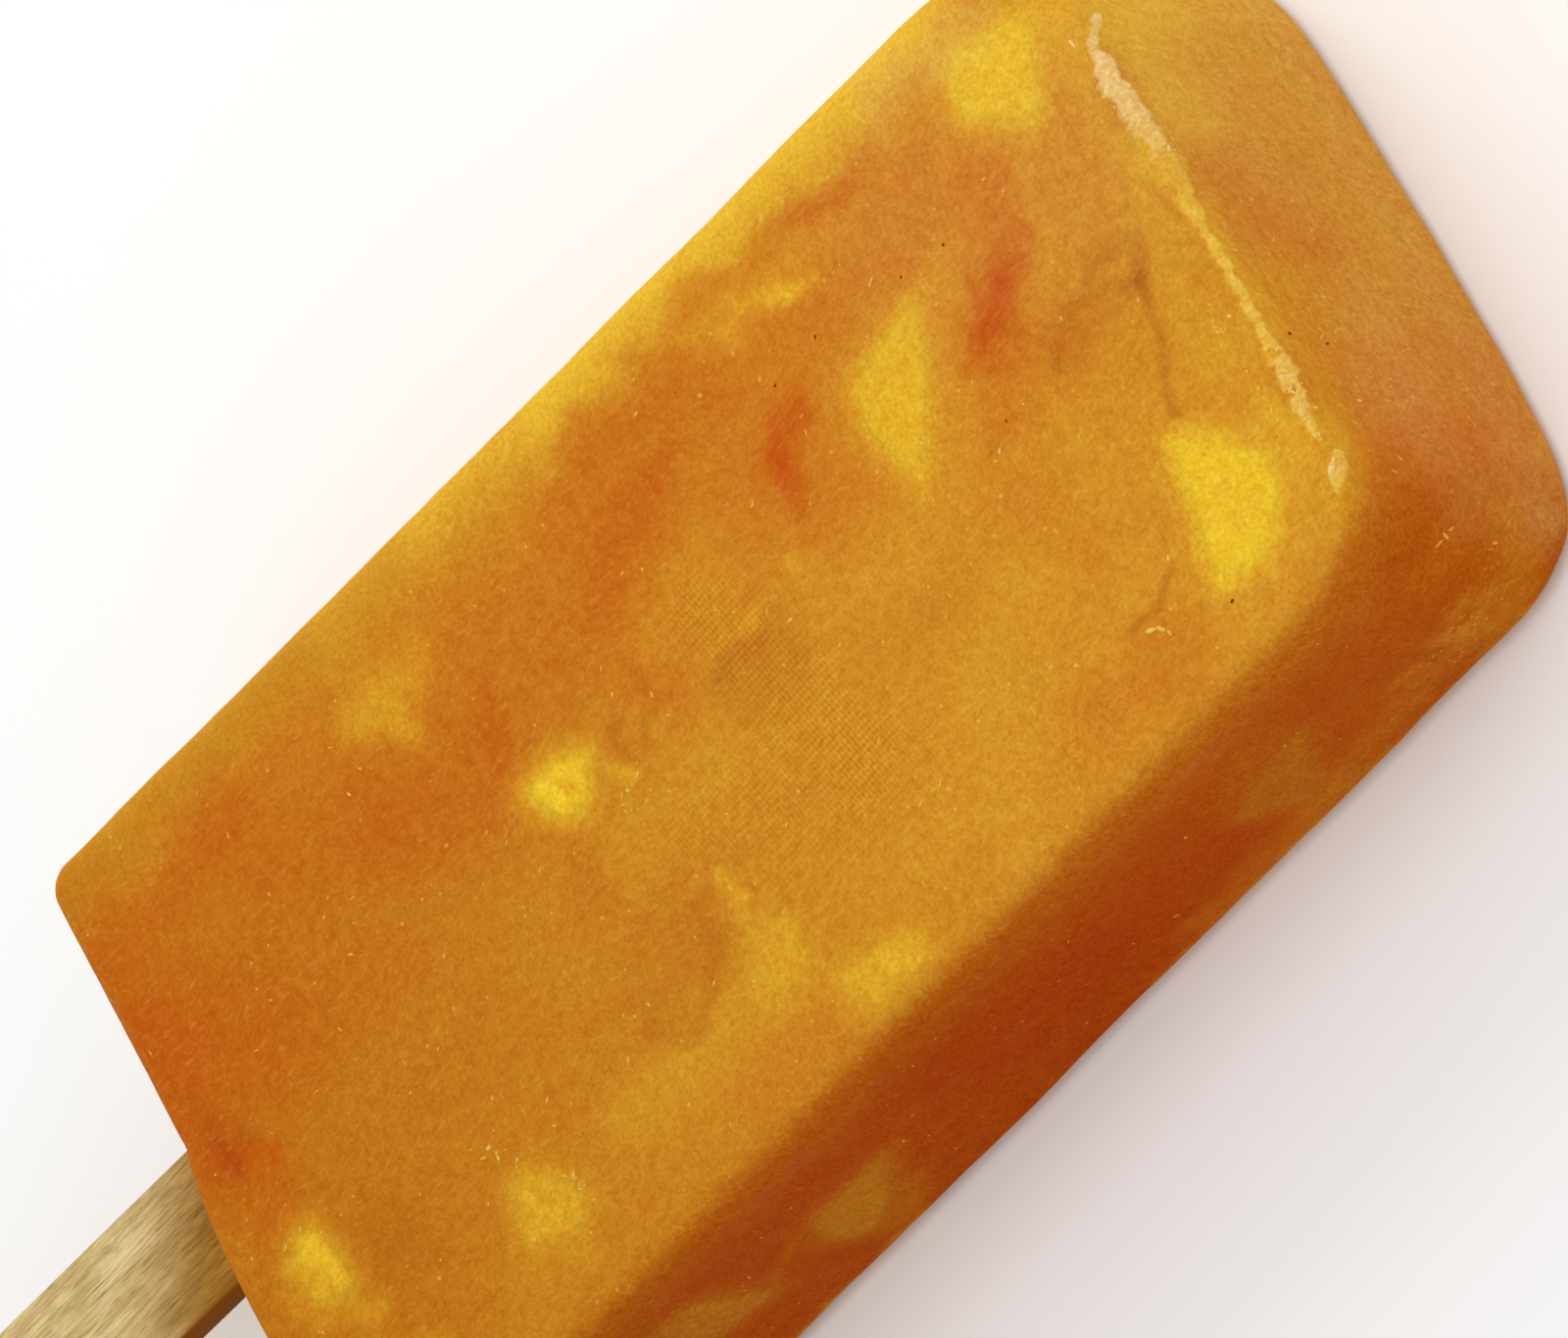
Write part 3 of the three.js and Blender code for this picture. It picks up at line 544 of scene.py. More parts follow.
def grid_faces(rows, columns):
    """Quads between neighbouring rows of a grid whose columns run round and close."""
    row, column = np.meshgrid(np.arange(rows - 1), np.arange(columns), indexing="ij")
    after = (column + 1) % columns
    below, above = row * columns, (row + 1) * columns
    return np.stack([below + column, below + after, above + after, above + column], -1).reshape(-1, 4)


def waves(place, seed, shortest, longest, count):
    """A smooth random field with a spread of 1: the sum of sine waves whose directions, lengths
    and phases are drawn from the seed."""
    rng = np.random.default_rng(seed)
    way = rng.normal(size=(count, place.shape[-1]))
    way /= np.linalg.norm(way, axis=1, keepdims=True)
    length = rng.uniform(shortest, longest, (count, 1))
    phase = rng.uniform(0, 2 * np.pi, count)
    return np.sin(place @ (way / length * 2 * np.pi).T + phase).sum(-1) * (2 / count) ** 0.5


def lowering(place):
    """How far the skin lies under the mould's shape at each place: waves in two ranges of length,
    held between 0 and twice the drop."""
    total = sum(
        height * waves(place, seed, shortest, longest, WAVES_OF_A_KIND)
        for seed, (shortest, longest, height) in enumerate(SKIN_WAVES)
    )
    return np.clip(SKIN_DROP + total, 0, 2 * SKIN_DROP)


def settled(places, out):
    """Places moved in along the skin's normals to where it lies."""
    return places - out * lowering(places)[..., None]


def wandered(place):
    """Places shifted along each axis by waves of their own, so that marks get natural borders."""
    shift = [waves(place, SEEDS["wander"] + axis, *WANDER) for axis in range(3)]
    return place + WANDER_SHIFT * np.stack(shift, -1)


class Block:
    """The moulded block: its outline seen from the front, its edges, and how its ends bulge."""

    def __init__(self, sizes):
        self.sizes = sizes
        self.tip = sizes.length / 2
        right, left = self.half_outline(-1), self.half_outline(1)
        loop = np.concatenate([right, left[-2:0:-1]])
        step = np.roll(loop, -1, axis=0) - np.roll(loop, 1, axis=0)
        outward = np.stack([step[:, 1], -step[:, 0]], -1)
        self.outward = outward / np.linalg.norm(outward, axis=1, keepdims=True)
        self.loop = loop
        self.radius = self.edge_radius(self.outward[:, 0])
        middle = (right[:, 0] + left[:, 0]) / 2
        middle = np.clip(middle, SPINE_INSET - self.tip, self.tip - SPINE_INSET)
        spine = np.stack([middle, np.zeros_like(middle)], -1)
        self.spine = np.concatenate([spine, spine[-2:0:-1]])

    def half_outline(self, side):
        """From the middle of the base to the middle of the tip along one side, at even steps:
        straight, a quarter circle, straight, a quarter of a superellipse, and straight."""
        sizes, half = self.sizes, self.sizes.base_width / 2
        turn = np.linspace(0, np.pi / 2, CORNER_POINTS)
        reach, squareness = TIP_CORNER_REACH[side], 2 / TIP_CORNER_POWER
        forward = reach * np.sin(turn) ** squareness
        sideways = reach * np.maximum(np.cos(turn), 0) ** squareness
        base_x = sizes.long_edge * (1 - np.cos(turn)) - self.tip
        base_y = half - sizes.long_edge * (1 - np.sin(turn))
        x = np.concatenate([[-self.tip], base_x, self.tip - reach + forward, [self.tip]])
        y = np.concatenate([[0], base_y, half - reach + sideways, [0]])
        run = np.concatenate([[0], np.cumsum(np.hypot(np.diff(x), np.diff(y)))])
        at = np.linspace(0, run[-1], CHAIN_STEPS + 1)
        return np.stack([np.interp(at, run, x), side * np.interp(at, run, y)], -1)

    def edge_radius(self, outward_x):
        """Long edges are soft, and they grow crisp where the outline turns to the tip."""
        share = smoothstep(outward_x, *TIP_EDGE_TURN)
        return self.sizes.long_edge + share * (self.sizes.tip_edge - self.sizes.long_edge)

    def tapered(self, x, measure):
        """The width or the thickness at X, which changes evenly from the base to the tip."""
        base, tip = (getattr(self.sizes, f"{end}_{measure}") for end in ("base", "tip"))
        return base + (x + self.tip) / self.sizes.length * (tip - base)

    def moulded(self, x, y):
        """Narrows the plain slab towards the tip and moves it along X with the end bulges: the
        tip's crown is a parabola across, and the base has a low dome and a swelling."""
        across = 2 * y / self.sizes.base_width
        tip_share = np.maximum(0, 1 - (self.tip - x) / TIP_CROWN_RUN)
        base_share = np.maximum(0, 1 - (x + self.tip) / BASE_RUN)
        off = (y - SWELLING["middle"]) / SWELLING["reach"]
        swelling = SWELLING["height"] * np.maximum(0, 1 - off**2) ** SWELLING["fullness"]
        forward = TIP_CROWN * across**2 * tip_share**2
        backward = (BASE_CROWN * (1 - across**2) + swelling) * base_share**2
        return x - forward - backward, y * self.tapered(x, "width") / self.sizes.base_width

    def ring(self, flat, depth, side):
        """One ring of the skin: plan places and how far they lie under the front face (side 1) or
        over the back face (side -1)."""
        x, y = self.moulded(*flat.T)
        return np.stack([x, y, self.tapered(x, "thickness") - depth if side > 0 else depth + 0 * x], -1)

    def skin(self):
        """The whole skin as a grid, before its waves, with its normals: rings from the spine of the
        back face out to its rim, round its edge, up the wall, round the front edge and in to the
        front spine."""
        rim = self.loop - self.outward * self.radius[:, None]
        rings, ways = {-1: [], 1: []}, {-1: [], 1: []}
        for side, rows in ((-1, FACE_ROWS["back"]), (1, FACE_ROWS["front"])):
            for share in np.linspace(0, 1, rows + 1)[:-1]:
                rings[side].append(self.ring(self.spine + (rim - self.spine) * share, 0, side))
                ways[side].append(np.broadcast_to((0.0, 0.0, side), rings[side][0].shape))
            for turn in np.linspace(0, np.pi / 2, FILLET_ROWS + 1):
                inset, depth = self.radius * (1 - np.sin(turn)), self.radius * (1 - np.cos(turn))
                rings[side].append(self.ring(self.loop - self.outward * inset[:, None], depth, side))
                lean = np.full((len(self.loop), 1), side * np.cos(turn))
                ways[side].append(np.hstack([self.outward * np.sin(turn), lean]))
        low, high = rings[-1][-1], rings[1][-1]
        wall = [low + (high - low) * share for share in np.linspace(0, 1, WALL_ROWS + 1)[1:-1]]
        grid = np.array(rings[-1] + wall + rings[1][::-1])
        return grid, np.array(ways[-1] + [ways[1][-1]] * len(wall) + ways[1][::-1])

    def on_face(self, face, along, across):
        """Places (metres) of points given along and across a face, on its plane."""
        right, up, out = FACES[face]
        x = along * right[0]
        far = {"front": self.tapered(x, "thickness"), "back": 0 * x}.get(face, self.tapered(x, "width") / 2)
        if face == "tip":
            far = self.tip - TIP_CROWN * (2 * along / self.sizes.tip_width) ** 2
        return along[..., None] * right + across[..., None] * up + far[..., None] * out

    def face_depth(self, face, along, across):
        """How far the skin lies under the plane of the front or the back there: the round of the
        edge where the outline is nearer than the edge's radius, and 0 elsewhere."""
        place = np.stack([along, across * (1 if face == "front" else -1)], -1).reshape(-1, 2)
        rim = np.stack(self.moulded(*self.loop.T), -1)
        gap = np.linalg.norm(place[:, None] - rim[None], axis=-1)
        nearest = gap.argmin(axis=1)
        radius = self.radius[nearest]
        inset = np.clip(gap[np.arange(len(place)), nearest], 0, radius)
        return (radius - np.sqrt(radius**2 - (radius - inset) ** 2)).reshape(along.shape)

    def spots_on(self, face, along, across):
        """Places on the skin, before its waves, of points given along and across a face, and the
        directions along, up and out of it there. Walls follow the outline round the corners."""
        right, up, out = FACES[face]
        if face in ("front", "back"):
            place = self.on_face(face, along, across)
            return place - out * self.face_depth(face, along, across)[:, None], right, up, out
        axis = 1 if face == "tip" else 0
        facing = self.outward @ out[:2] > WALL_FACING
        rim = np.stack([*self.moulded(*self.loop[facing].T), *self.outward[facing].T])
        rim = rim[:, np.argsort(rim[axis])]
        x, y, out_x, out_y = (np.interp(along * right[axis], rim[axis], row) for row in rim)
        out = np.stack([out_x, out_y, 0 * x], -1)
        return np.stack([x, y, across], -1), np.cross(up, out), up, out

    def tip_edge_zone(self, y, across):
        """Places and normals on the tip's front edge, for Y and a distance across the edge from
        its middle: the front face, then a quarter round, then the tip's wall."""
        at_tip = self.loop[:, 0] > self.tip - TIP_ZONE
        known = np.column_stack([self.loop, self.outward, self.radius])[at_tip]
        known = known[np.argsort(known[:, 1])].T
        x, out_x, out_y, radius = (np.interp(y, known[1], known[i]) for i in (0, 2, 3, 4))
        turn = np.clip(across / radius + np.pi / 4, 0, np.pi / 2)
        beyond = radius * np.pi / 4
        inset = radius * (1 - np.sin(turn)) + np.maximum(-beyond - across, 0)
        drop = radius * (1 - np.cos(turn)) + np.maximum(across - beyond, 0)
        x, y = self.moulded(x - out_x * inset, y - out_y * inset)
        normal = np.stack([out_x * np.sin(turn), out_y * np.sin(turn), np.cos(turn)], -1)
        return np.stack([x, y, self.tapered(x, "thickness") - drop], -1), normal


def rounded_outline(cut, turn_degrees, scale):
    """A cut's outline, its corners rounded by parabolas that take up CORNER_SOFTNESS of each side
    or a third of it, at OUTLINE_STEPS even steps round it."""
    corners = np.array(CUTS[cut]) * scale * MM

    def towards(step):
        other = np.roll(corners, step, axis=0)
        side = np.linalg.norm(other - corners, axis=1, keepdims=True)
        return (corners + (other - corners) * np.minimum(CORNER_SOFTNESS, side / 3) / side)[:, None]

    t = np.linspace(0, 1, CORNER_STEPS)[None, :, None]
    curve = (1 - t) ** 2 * towards(1) + 2 * t * (1 - t) * corners[:, None] + t**2 * towards(-1)
    loop = curve.reshape(-1, 2)
    loop = np.concatenate([loop, loop[:1]])
    run = np.concatenate([[0], np.cumsum(np.linalg.norm(np.diff(loop, axis=0), axis=1))])
    at = np.linspace(0, run[-1], OUTLINE_STEPS + 1)[:-1]
    even = np.stack([np.interp(at, run, loop[:, i]) for i in (0, 1)], -1)
    angle = np.radians(turn_degrees)
    return even @ np.array([[np.cos(angle), np.sin(angle)], [-np.sin(angle), np.cos(angle)]])


def depth_inside(points, loop):
    """How far points (n, 2) lie inside a closed loop (m, 2): the distance to its nearest side,
    negative outside, where a ray to the right crosses the loop an even number of times."""
    start, end = loop[None], np.roll(loop, -1, axis=0)[None]
    side = end - start
    offset = points[:, None] - start
    share = np.clip((offset * side).sum(-1) / (side**2).sum(-1), 0, 1)
    gap = np.linalg.norm(offset - share[..., None] * side, axis=-1).min(axis=1)
    crosses = (start[..., 1] > points[:, None, 1]) != (end[..., 1] > points[:, None, 1])
    with np.errstate(divide="ignore", invalid="ignore"):
        meet = start[..., 0] + (points[:, None, 1] - start[..., 1]) * side[..., 0] / side[..., 1]
    inside = (crosses & (points[:, None, 0] < meet)).sum(axis=1) % 2 == 1
    return np.where(inside, gap, -gap)


def mango_field(block, places):
    """How strongly mango shows at each place of the skin, from every dice near it: by how far
    inside its outline the place lies, as an S over its halo and one over its core."""
    field = np.zeros(len(places))
    for face, chunks in CHUNKS.items():
        right, up, out = FACES[face]
        for cut, along, across, turn, scale, strength in chunks:
            loop = rounded_outline(cut, turn, scale)
            middle = np.array([along, across]) * MM
            centre = block.on_face(face, *middle[:, None])[0]
            reach = np.linalg.norm(loop, axis=1).max() - HALO[0]
            near = np.linalg.norm(places - centre, axis=1) < reach
            local = places[near]
            flat = np.stack([local @ right, local @ up], -1) - middle
            inside = depth_inside(flat, loop)
            under = np.maximum((centre - local) @ out, 0)
            inside = np.where(inside > 0, inside - under, -np.hypot(inside, under))
            shown = sum(share * smoothstep(inside, low, high) for low, high, share in (HALO, CORE))
            field[near] = np.maximum(field[near], strength * shown)
    return field


def stroke_field(block, places, strokes):
    """How strongly several soft strokes show together at each place: each fades with the distance
    from the line through its points, as an S over STROKE_FADE times its half width, and where
    strokes meet, each covers its share of what the others leave."""
    bare = np.ones(len(places))
    for face, rows in strokes.items():
        for half_width, strength, *run in rows:
            line = block.on_face(face, *np.reshape(run, (-1, 2)).T * MM)
            reach = STROKE_FADE[1] * half_width * MM
            near = np.all((places > line.min(axis=0) - reach) & (places < line.max(axis=0) + reach), axis=1)
            local = places[near]
            gap = np.full(len(local), np.inf)
            for first, last in zip(line[:-1], line[1:]):
                side = last - first
                share = np.clip((local - first) @ side / (side @ side), 0, 1)
                gap = np.minimum(gap, np.linalg.norm(local - first - share[:, None] * side, axis=1))
            bare[near] *= 1 - strength * (1 - smoothstep(gap / (half_width * MM), *STROKE_FADE))
    return 1 - bare


def ice_marks(block, grid, normals):
    """Every attribute that the fruit-ice material reads, at each place of a surface."""
    places, normals = (np.broadcast_to(part, grid.shape).reshape(-1, 3) for part in (grid, normals))
    level = np.hypot(normals[:, 0], normals[:, 1])
    over = smoothstep(level, *SHADE_OVER_EDGE)
    towards_side = -normals[:, 1] / np.maximum(level, 0.01)
    middle, reach, fade = SHADE_MIDDLE
    painted_shade = smoothstep(np.sqrt(np.maximum(towards_side, 0)), *SHADE_ROUND_END)
    painted_shade *= 1 - fade * smoothstep(np.abs(places[:, 0] - middle), 0, reach)
    for end, most in ((-1, SHADE_BASE), (1, SHADE_TIP)):
        painted_shade = np.maximum(painted_shade, most * smoothstep(end * normals[:, 0], *SHADE_ENDS))
    shifted = wandered(places)
    marks = {name: stroke_field(block, shifted, strokes) for name, strokes in MARKS.items()}
    marks["mango"] = np.maximum(marks["mango"], mango_field(block, places))
    near, far, share = SHADE_UNDER_FRONT
    painted_shade *= 1 - share * (1 - smoothstep(block.tapered(places[:, 0], "thickness") - places[:, 2], near, far))
    # The painted shade, weaker where the painted glow lies
    marks["painted_shade"] = over * painted_shade * (1 - SHADE_LIT * marks["glow"])
    return marks


# ---- Meshes ----


def new_object(name, data):
    """An object that holds the data, in the scene's own collection."""
    made = bpy.data.objects.new(name, data)
    bpy.context.scene.collection.objects.link(made)
    return made


def make_piece(name, grid, material, marks, node=None, faces=None):
    """Puts a surface into a mesh with its attributes, closes its seams and poles, and makes it a
    piece of the lolly. A surface is a grid whose columns run round, or else it is lenses, which
    bring faces of their own and stay faceted, or their rims would shade as if they stood up."""
    mesh = bpy.data.meshes.new(name)
    quads = grid_faces(*grid.shape[:2]) if faces is None else faces
    mesh.from_pydata(grid.reshape(-1, 3).tolist(), [], quads.tolist())
    for mark, values in marks.items():
        attribute = mesh.attributes.new(mark, "FLOAT", "POINT")
        attribute.data.foreach_set("value", np.ascontiguousarray(values, dtype=np.float32).ravel())
    shape = bmesh.new()
    shape.from_mesh(mesh)
    bmesh.ops.remove_doubles(shape, verts=shape.verts, dist=SEAM)
    bmesh.ops.recalc_face_normals(shape, faces=shape.faces)
    shape.to_mesh(mesh)
    shape.free()
    if faces is None:
        mesh.shade_smooth()
    mesh.materials.append(material)
    piece = new_object(name, mesh)
    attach(piece, BODY)
    if node:
        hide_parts(node)


def ice_block_piece(block, material):
    """The block's skin, lowered along its normals by the waves that freezing leaves in it."""
    grid, normals = block.skin()
    grid = settled(grid, normals)
    make_piece("frosted_ice", grid, material, ice_marks(block, grid, normals), "ice_block")


def chunk_piece(block, face, number, chunk, material):
    """One dice of mango: rings of its outline from the middle of its buried end, out to its wall,
    up the wall and in over a cap that follows the ice, a hair proud of it in the middle."""
    cut, along, across, turn, scale, _ = chunk
    out = FACES[face][2]
    loop = rounded_outline(cut, turn, scale)
    spread = np.linspace(0, 1, CAP_ROWS)
    levels = np.linspace(1, 0, CHUNK_WALL_ROWS + 1)[1:-1]
    share = np.concatenate([spread, np.ones(len(levels)), spread[::-1]])[:, None]
    buried = np.concatenate([np.ones(CAP_ROWS), levels, np.zeros(CAP_ROWS)])[:, None]
    flat = np.array([along, across]) * MM + share[..., None] * loop
    cap = block.on_face(face, flat[..., 0], flat[..., 1])
    sunk = lowering(cap)
    if face in ("front", "back"):
        sunk = sunk + block.face_depth(face, flat[..., 0], flat[..., 1])
    rise = CHUNK_PROUD - (CHUNK_PROUD + CHUNK_RIM_DROP) * share**CHUNK_RIM_POWER
    grid = cap - out * np.where(buried > 0, CHUNK_DEPTH * buried, sunk - rise)[..., None]
    label = f"{face}_{number}"
    marks = ice_marks(block, grid, out)
    make_piece(f"diced_mango_{label}", grid, material, marks, f"mango_{label}")


def lenses(spots, right, up, out, angle, length, width, height):
    """Flat closed lenses, one at each spot: a ring of points with a crest and a foot, stretched to
    its length, width and height, and turned by its angle from right towards up."""
    turn = np.arange(LENS_SIDES) / LENS_SIDES * 2 * np.pi
    ring = np.stack([np.cos(turn), np.sin(turn), 0 * turn], -1)
    lens = np.concatenate([[(0, 0, -1)], ring, [(0, 0, 1)]])
    angle, length, width, height = (np.reshape(v, (-1, 1)) for v in (angle, length, width, height))
    long_way = (np.cos(angle) * right + np.sin(angle) * up) * length / 2
    wide_way = (np.cos(angle) * up - np.sin(angle) * right) * width / 2
    ways = np.broadcast_arrays(long_way, wide_way, out * height)
    return spots[:, None] + lens @ np.stack(ways, 1)


def lens_faces(count):
    """The triangles of that many lenses, from the foot and the crest to the ring."""
    side = np.arange(LENS_SIDES)
    after = (side + 1) % LENS_SIDES
    foot = np.stack([0 * side, after + 1, side + 1], -1)
    crest = np.stack([side + 1, after + 1, 0 * side + LENS_SIDES + 1], -1)
    first = np.arange(count)[:, None, None] * (LENS_SIDES + 2)
    return (first + np.concatenate([foot, crest])).reshape(-1, 3)


def along_crust(stations, y):
    """Start, end, height, gold, white and brokenness of a crust at each Y (mm), as columns."""
    known = np.array(stations)[::-1]
    return [np.interp(y, known[:, 0], known[:, i])[:, None] for i in range(1, 7)]


def frost_piece(block, name, stations, material):
    """A crust of frost along the tip's edge: a closed band that follows its stations, with ragged
    borders that dip under the skin. Waves as fine as crystals of frost raise it and whiten it
    together, and where it is broken coarser ones leave gaps in it."""
    last, first = stations[-1][0], stations[0][0]
    y = np.linspace(last, first, int((first - last) * MM / FROST_STEP) + 2)
    start, end, height, gold, white, broken = along_crust(stations, y)
    y = y[:, None] * MM
    swing = [1 + FROST_RAGGED_SHARE * waves(y, seed, *FROST_RAGGED)[:, None] for seed in SEEDS["borders"]]
    middle, half = (start + end) / 2 * MM, (end - start) / 2 * MM
    across = np.linspace(-1, 1, FROST_ACROSS)
    reach = half * np.where(across < 0, *swing)
    off = middle + across * (reach + FROST_MARGIN)
    ground, normal = block.tip_edge_zone(np.broadcast_to(y, off.shape), off)
    ground = settled(ground, normal)
    crystals = waves(ground @ FROST_COMB, SEEDS["crystals"], *FROST_CRYSTALS)
    gaps = 1 - smoothstep(waves(ground, SEEDS["gaps"], *FROST_GAPS), *FROST_WHOLE)
    whole = 1 - broken * gaps
    left = {part: share + (1 - share) * whole for part, share in FROST_IN_GAPS.items()}
    dome = (1 - across**2) ** 2
    raised = height * MM * dome * (1 + FROST_CRYSTALS_SHARE * crystals) * left["height"]
    top = raised - FROST_SUNK * across**6
    foot = ground - normal * (FROST_SUNK + FROST_FOOT * dome)[None, :, None]
    grid = np.hstack([ground + normal * top[..., None], foot[:, FROST_FOOT_COLUMNS]])
    fade = 1 - smoothstep(np.abs(off - middle) / np.maximum(reach, FROST_LEAST), *FROST_FADE)
    lost, more = FROST_DUST
    dusty = 1 - (lost + more * broken) * (1 - smoothstep(crystals, *FROST_HOLLOWS))
    under = np.zeros((len(grid), grid.shape[1] - FROST_ACROSS))
    marks = ice_marks(block, grid, (0.0, 0.0, 1.0))
    marks["glow"] = np.maximum(marks["glow"], np.hstack([gold * fade * left["gold"], under]).ravel())
    marks["rime"] = np.hstack([white * fade * whole * dusty, under])
    make_piece(name, grid, material, marks)


def grain_piece(block, stations, material):
    """Grains of frost on a crust: lenses at seeded places along the tip's edge, thicker in the
    middle of the crust than at its borders."""
    rng = np.random.default_rng(SEEDS["grains"])
    rows = []
    for start, end, count, (shortest, longest), lean, white in GRAINS:
        share = rng.uniform(0, 1, count)
        off = rng.uniform(-1, 1, count)
        angle = rng.normal(0, lean, count)
        length = shortest + (longest - shortest) * rng.uniform(0, 1, count) ** 2
        tint = white * rng.uniform(*GRAIN_TINTS, count)
        rows.append(np.stack([start + share * (end - start), off, angle, length, tint], -1))
    y, off, angle, length, white = np.concatenate(rows).T
    start, end, height, gold, *_ = (column[:, 0] for column in along_crust(stations, y))
    across = (start + end) / 2 + GRAIN_REACH * off * (end - start) / 2
    spots, normal = block.tip_edge_zone(y * MM, across * MM)
    middle = 1 - off**2
    spots = settled(spots, normal) + normal * (height * MM * middle**2)[:, None]
    along = np.array([0.0, 1.0, 0.0]) - normal * normal[:, 1:2]
    along /= np.linalg.norm(along, axis=1, keepdims=True)
    width = rng.uniform(*GRAIN_WIDTH, len(y))
    thinned = GRAIN_AT_RIM + (1 - GRAIN_AT_RIM) * middle
    thick = rng.uniform(*GRAIN_HEIGHT, len(y)) * thinned
    grid = lenses(spots, along, np.cross(normal, along), normal, angle, length * MM, width, thick)
    every = np.ones(grid.shape[1])
    marks = {"glow": gold[:, None] * every, "rime": (white * thinned)[:, None] * every}
    make_piece("frost_grains", grid, material, marks, faces=lens_faces(len(grid)))


def fleck_piece(block, material):
    """Loose flecks of frost: lenses laid on each face at seeded places, and the chips and specks
    that stand out on the faces and on the tip's edge."""
    rng = np.random.default_rng(SEEDS["flecks"])
    clouds, whites, tints = [], [], []
    for face, start, end, stray, count in FLECKS:
        share = rng.uniform(0, 1, (count, 1))
        spot = np.array(start) + share * np.subtract(end, start) + rng.uniform(-stray, stray, (count, 2))
        least, most, way, painted_shade = FLECK_FACES[face]
        ground, right, up, out = block.spots_on(face, *np.clip(spot, least, most).T * MM)
        angle = rng.normal(np.radians(way), FLECK_LEAN, count)
        length = FLECK_LENGTH[0] + rng.uniform(0, 1, count) ** 2 * (FLECK_LENGTH[1] - FLECK_LENGTH[0])
        width = rng.uniform(*FLECK_WIDTH, count)
        clouds.append(lenses(settled(ground, out), right, up, out, angle, length, width, FLECK_HEIGHT))
        whites.append(FLECK_WHITE * rng.uniform(*FLECK_TINTS, count))
        tints.append(np.full(count, painted_shade))
    chips = []
    for face, rows in CHIPS.items():
        along, across, length, width, angle, white = np.array(rows).T
        spots = block.spots_on(face, along * MM, across * MM)
        chips.append((*spots, angle, length, width, 2 * FLECK_HEIGHT, white, FLECK_FACES[face][-1]))
    y, across, angle, length, width, height, white = np.array(EDGE_CHIPS).T
    spots, normal = block.tip_edge_zone(y * MM, across * MM)
    along = np.array([0.0, 1.0, 0.0])
    over = np.cross(normal, along)
    chips.append((spots, along, over, normal, angle, length, width, height * MM, white, 0))
    for ground, right, up, out, angle, length, width, height, white, painted_shade in chips:
        measures = (np.radians(angle), length * MM, width * MM, height)
        clouds.append(lenses(settled(ground, out), right, up, out, *measures))
        whites.append(white)
        tints.append(np.full(len(white), painted_shade))
    grid = np.concatenate(clouds)
    white, tint = (np.concatenate(values)[:, None] * np.ones(grid.shape[1]) for values in (whites, tints))
    dark = (white < 0) * 1.0
    # Flecks take their face's painted shade, and dark specks take the painted shade's tint to darken them
    marks = {
        "glow": FLECK_GLOW * (1 - dark),
        "rime": np.maximum(white, 0),
        "vein": dark,
        "painted_shade": np.maximum(SPECK_DARKENING * dark, tint),
    }
    make_piece("frost_flecks", grid, material, marks, faces=lens_faces(len(grid)))


def stick_piece(sizes, material):
    """The stick: rings of a stadium outline from the middle line of its underside out to its edge,
    round it and in over its top, with shallow grooves along the grain."""
    low, high = np.array(STICK_LOW), np.array(STICK_HIGH)
    length, thick = high[0] - low[0], high[2] - low[2]
    half, radius = sizes.stick_width / 2, sizes.stick_edge
    straight = length / 2 - half
    turn = np.linspace(-np.pi / 2, np.pi / 2, STICK_END_STEPS)[1:-1]
    side = np.linspace(-straight, straight, STICK_STEPS)
    end_x, end_y = straight + half * np.cos(turn), half * np.sin(turn)
    x = np.concatenate([side, end_x, side[::-1], -end_x])
    y = np.concatenate([0 * side - half, end_y, 0 * side + half, -end_y])
    outline = np.stack([x, y], -1)
    spine = np.stack([np.clip(x, -straight, straight), 0 * x], -1)
    outward = (outline - spine) / half
    shares = np.linspace(0, 1, STICK_FACE_ROWS + 1)[:-1]
    turns = np.linspace(0, np.pi / 2, STICK_EDGE_ROWS)
    reach = np.concatenate([shares * (half - radius), half - radius * (1 - np.sin(turns))])
    level = np.concatenate([0 * shares, radius * (1 - np.cos(turns))]) - thick / 2
    walls = np.linspace(level[-1], -level[-1], STICK_WALL_ROWS + 2)[1:-1]
    reach = np.concatenate([reach, np.full(len(walls), half), reach[::-1]])[:, None]
    level = np.concatenate([level, walls, -level[::-1]])[:, None]
    along, across = np.moveaxis(spine + outward * reach[..., None], -1, 0)
    rng = np.random.default_rng(SEEDS["grooves"])
    phase = rng.uniform(0, 2 * np.pi, GROOVES)
    pitch = rng.uniform(*GROOVE_PITCH, GROOVES) * MM
    bend = sum(swing * np.sin(along / run) for swing, run in GROOVE_BENDS)
    groove = np.sin((across + bend)[..., None] * 2 * np.pi / pitch + phase).mean(-1) * STICK_GROOVE
    middle = (low + high) / 2
    x = along * np.cos(STICK_TURN) - across * np.sin(STICK_TURN) + middle[0]
    y = along * np.sin(STICK_TURN) + across * np.cos(STICK_TURN) + middle[1]
    z = level - np.sign(level) * (STICK_DROP + groove) + middle[2]
    shaded = EDGE_SHADE_REACH * radius * (outward[:, 1] < 0)
    marks = {
        # Painted shadow of the block on the stick near the ice
        "block_shadow": smoothstep(x - SHADOW_SLANT * across, *(ICE_LOW.x - run for run in SHADOW_RUN)),
        # Painted shade on the stick's edge
        "rim": smoothstep(reach + shaded, half - EDGE_SHADE_SHARE * radius, half),
    }
    make_piece("birch_stick", np.stack([x, y, z], -1), material, marks, "stick")


# ---- Materials ----


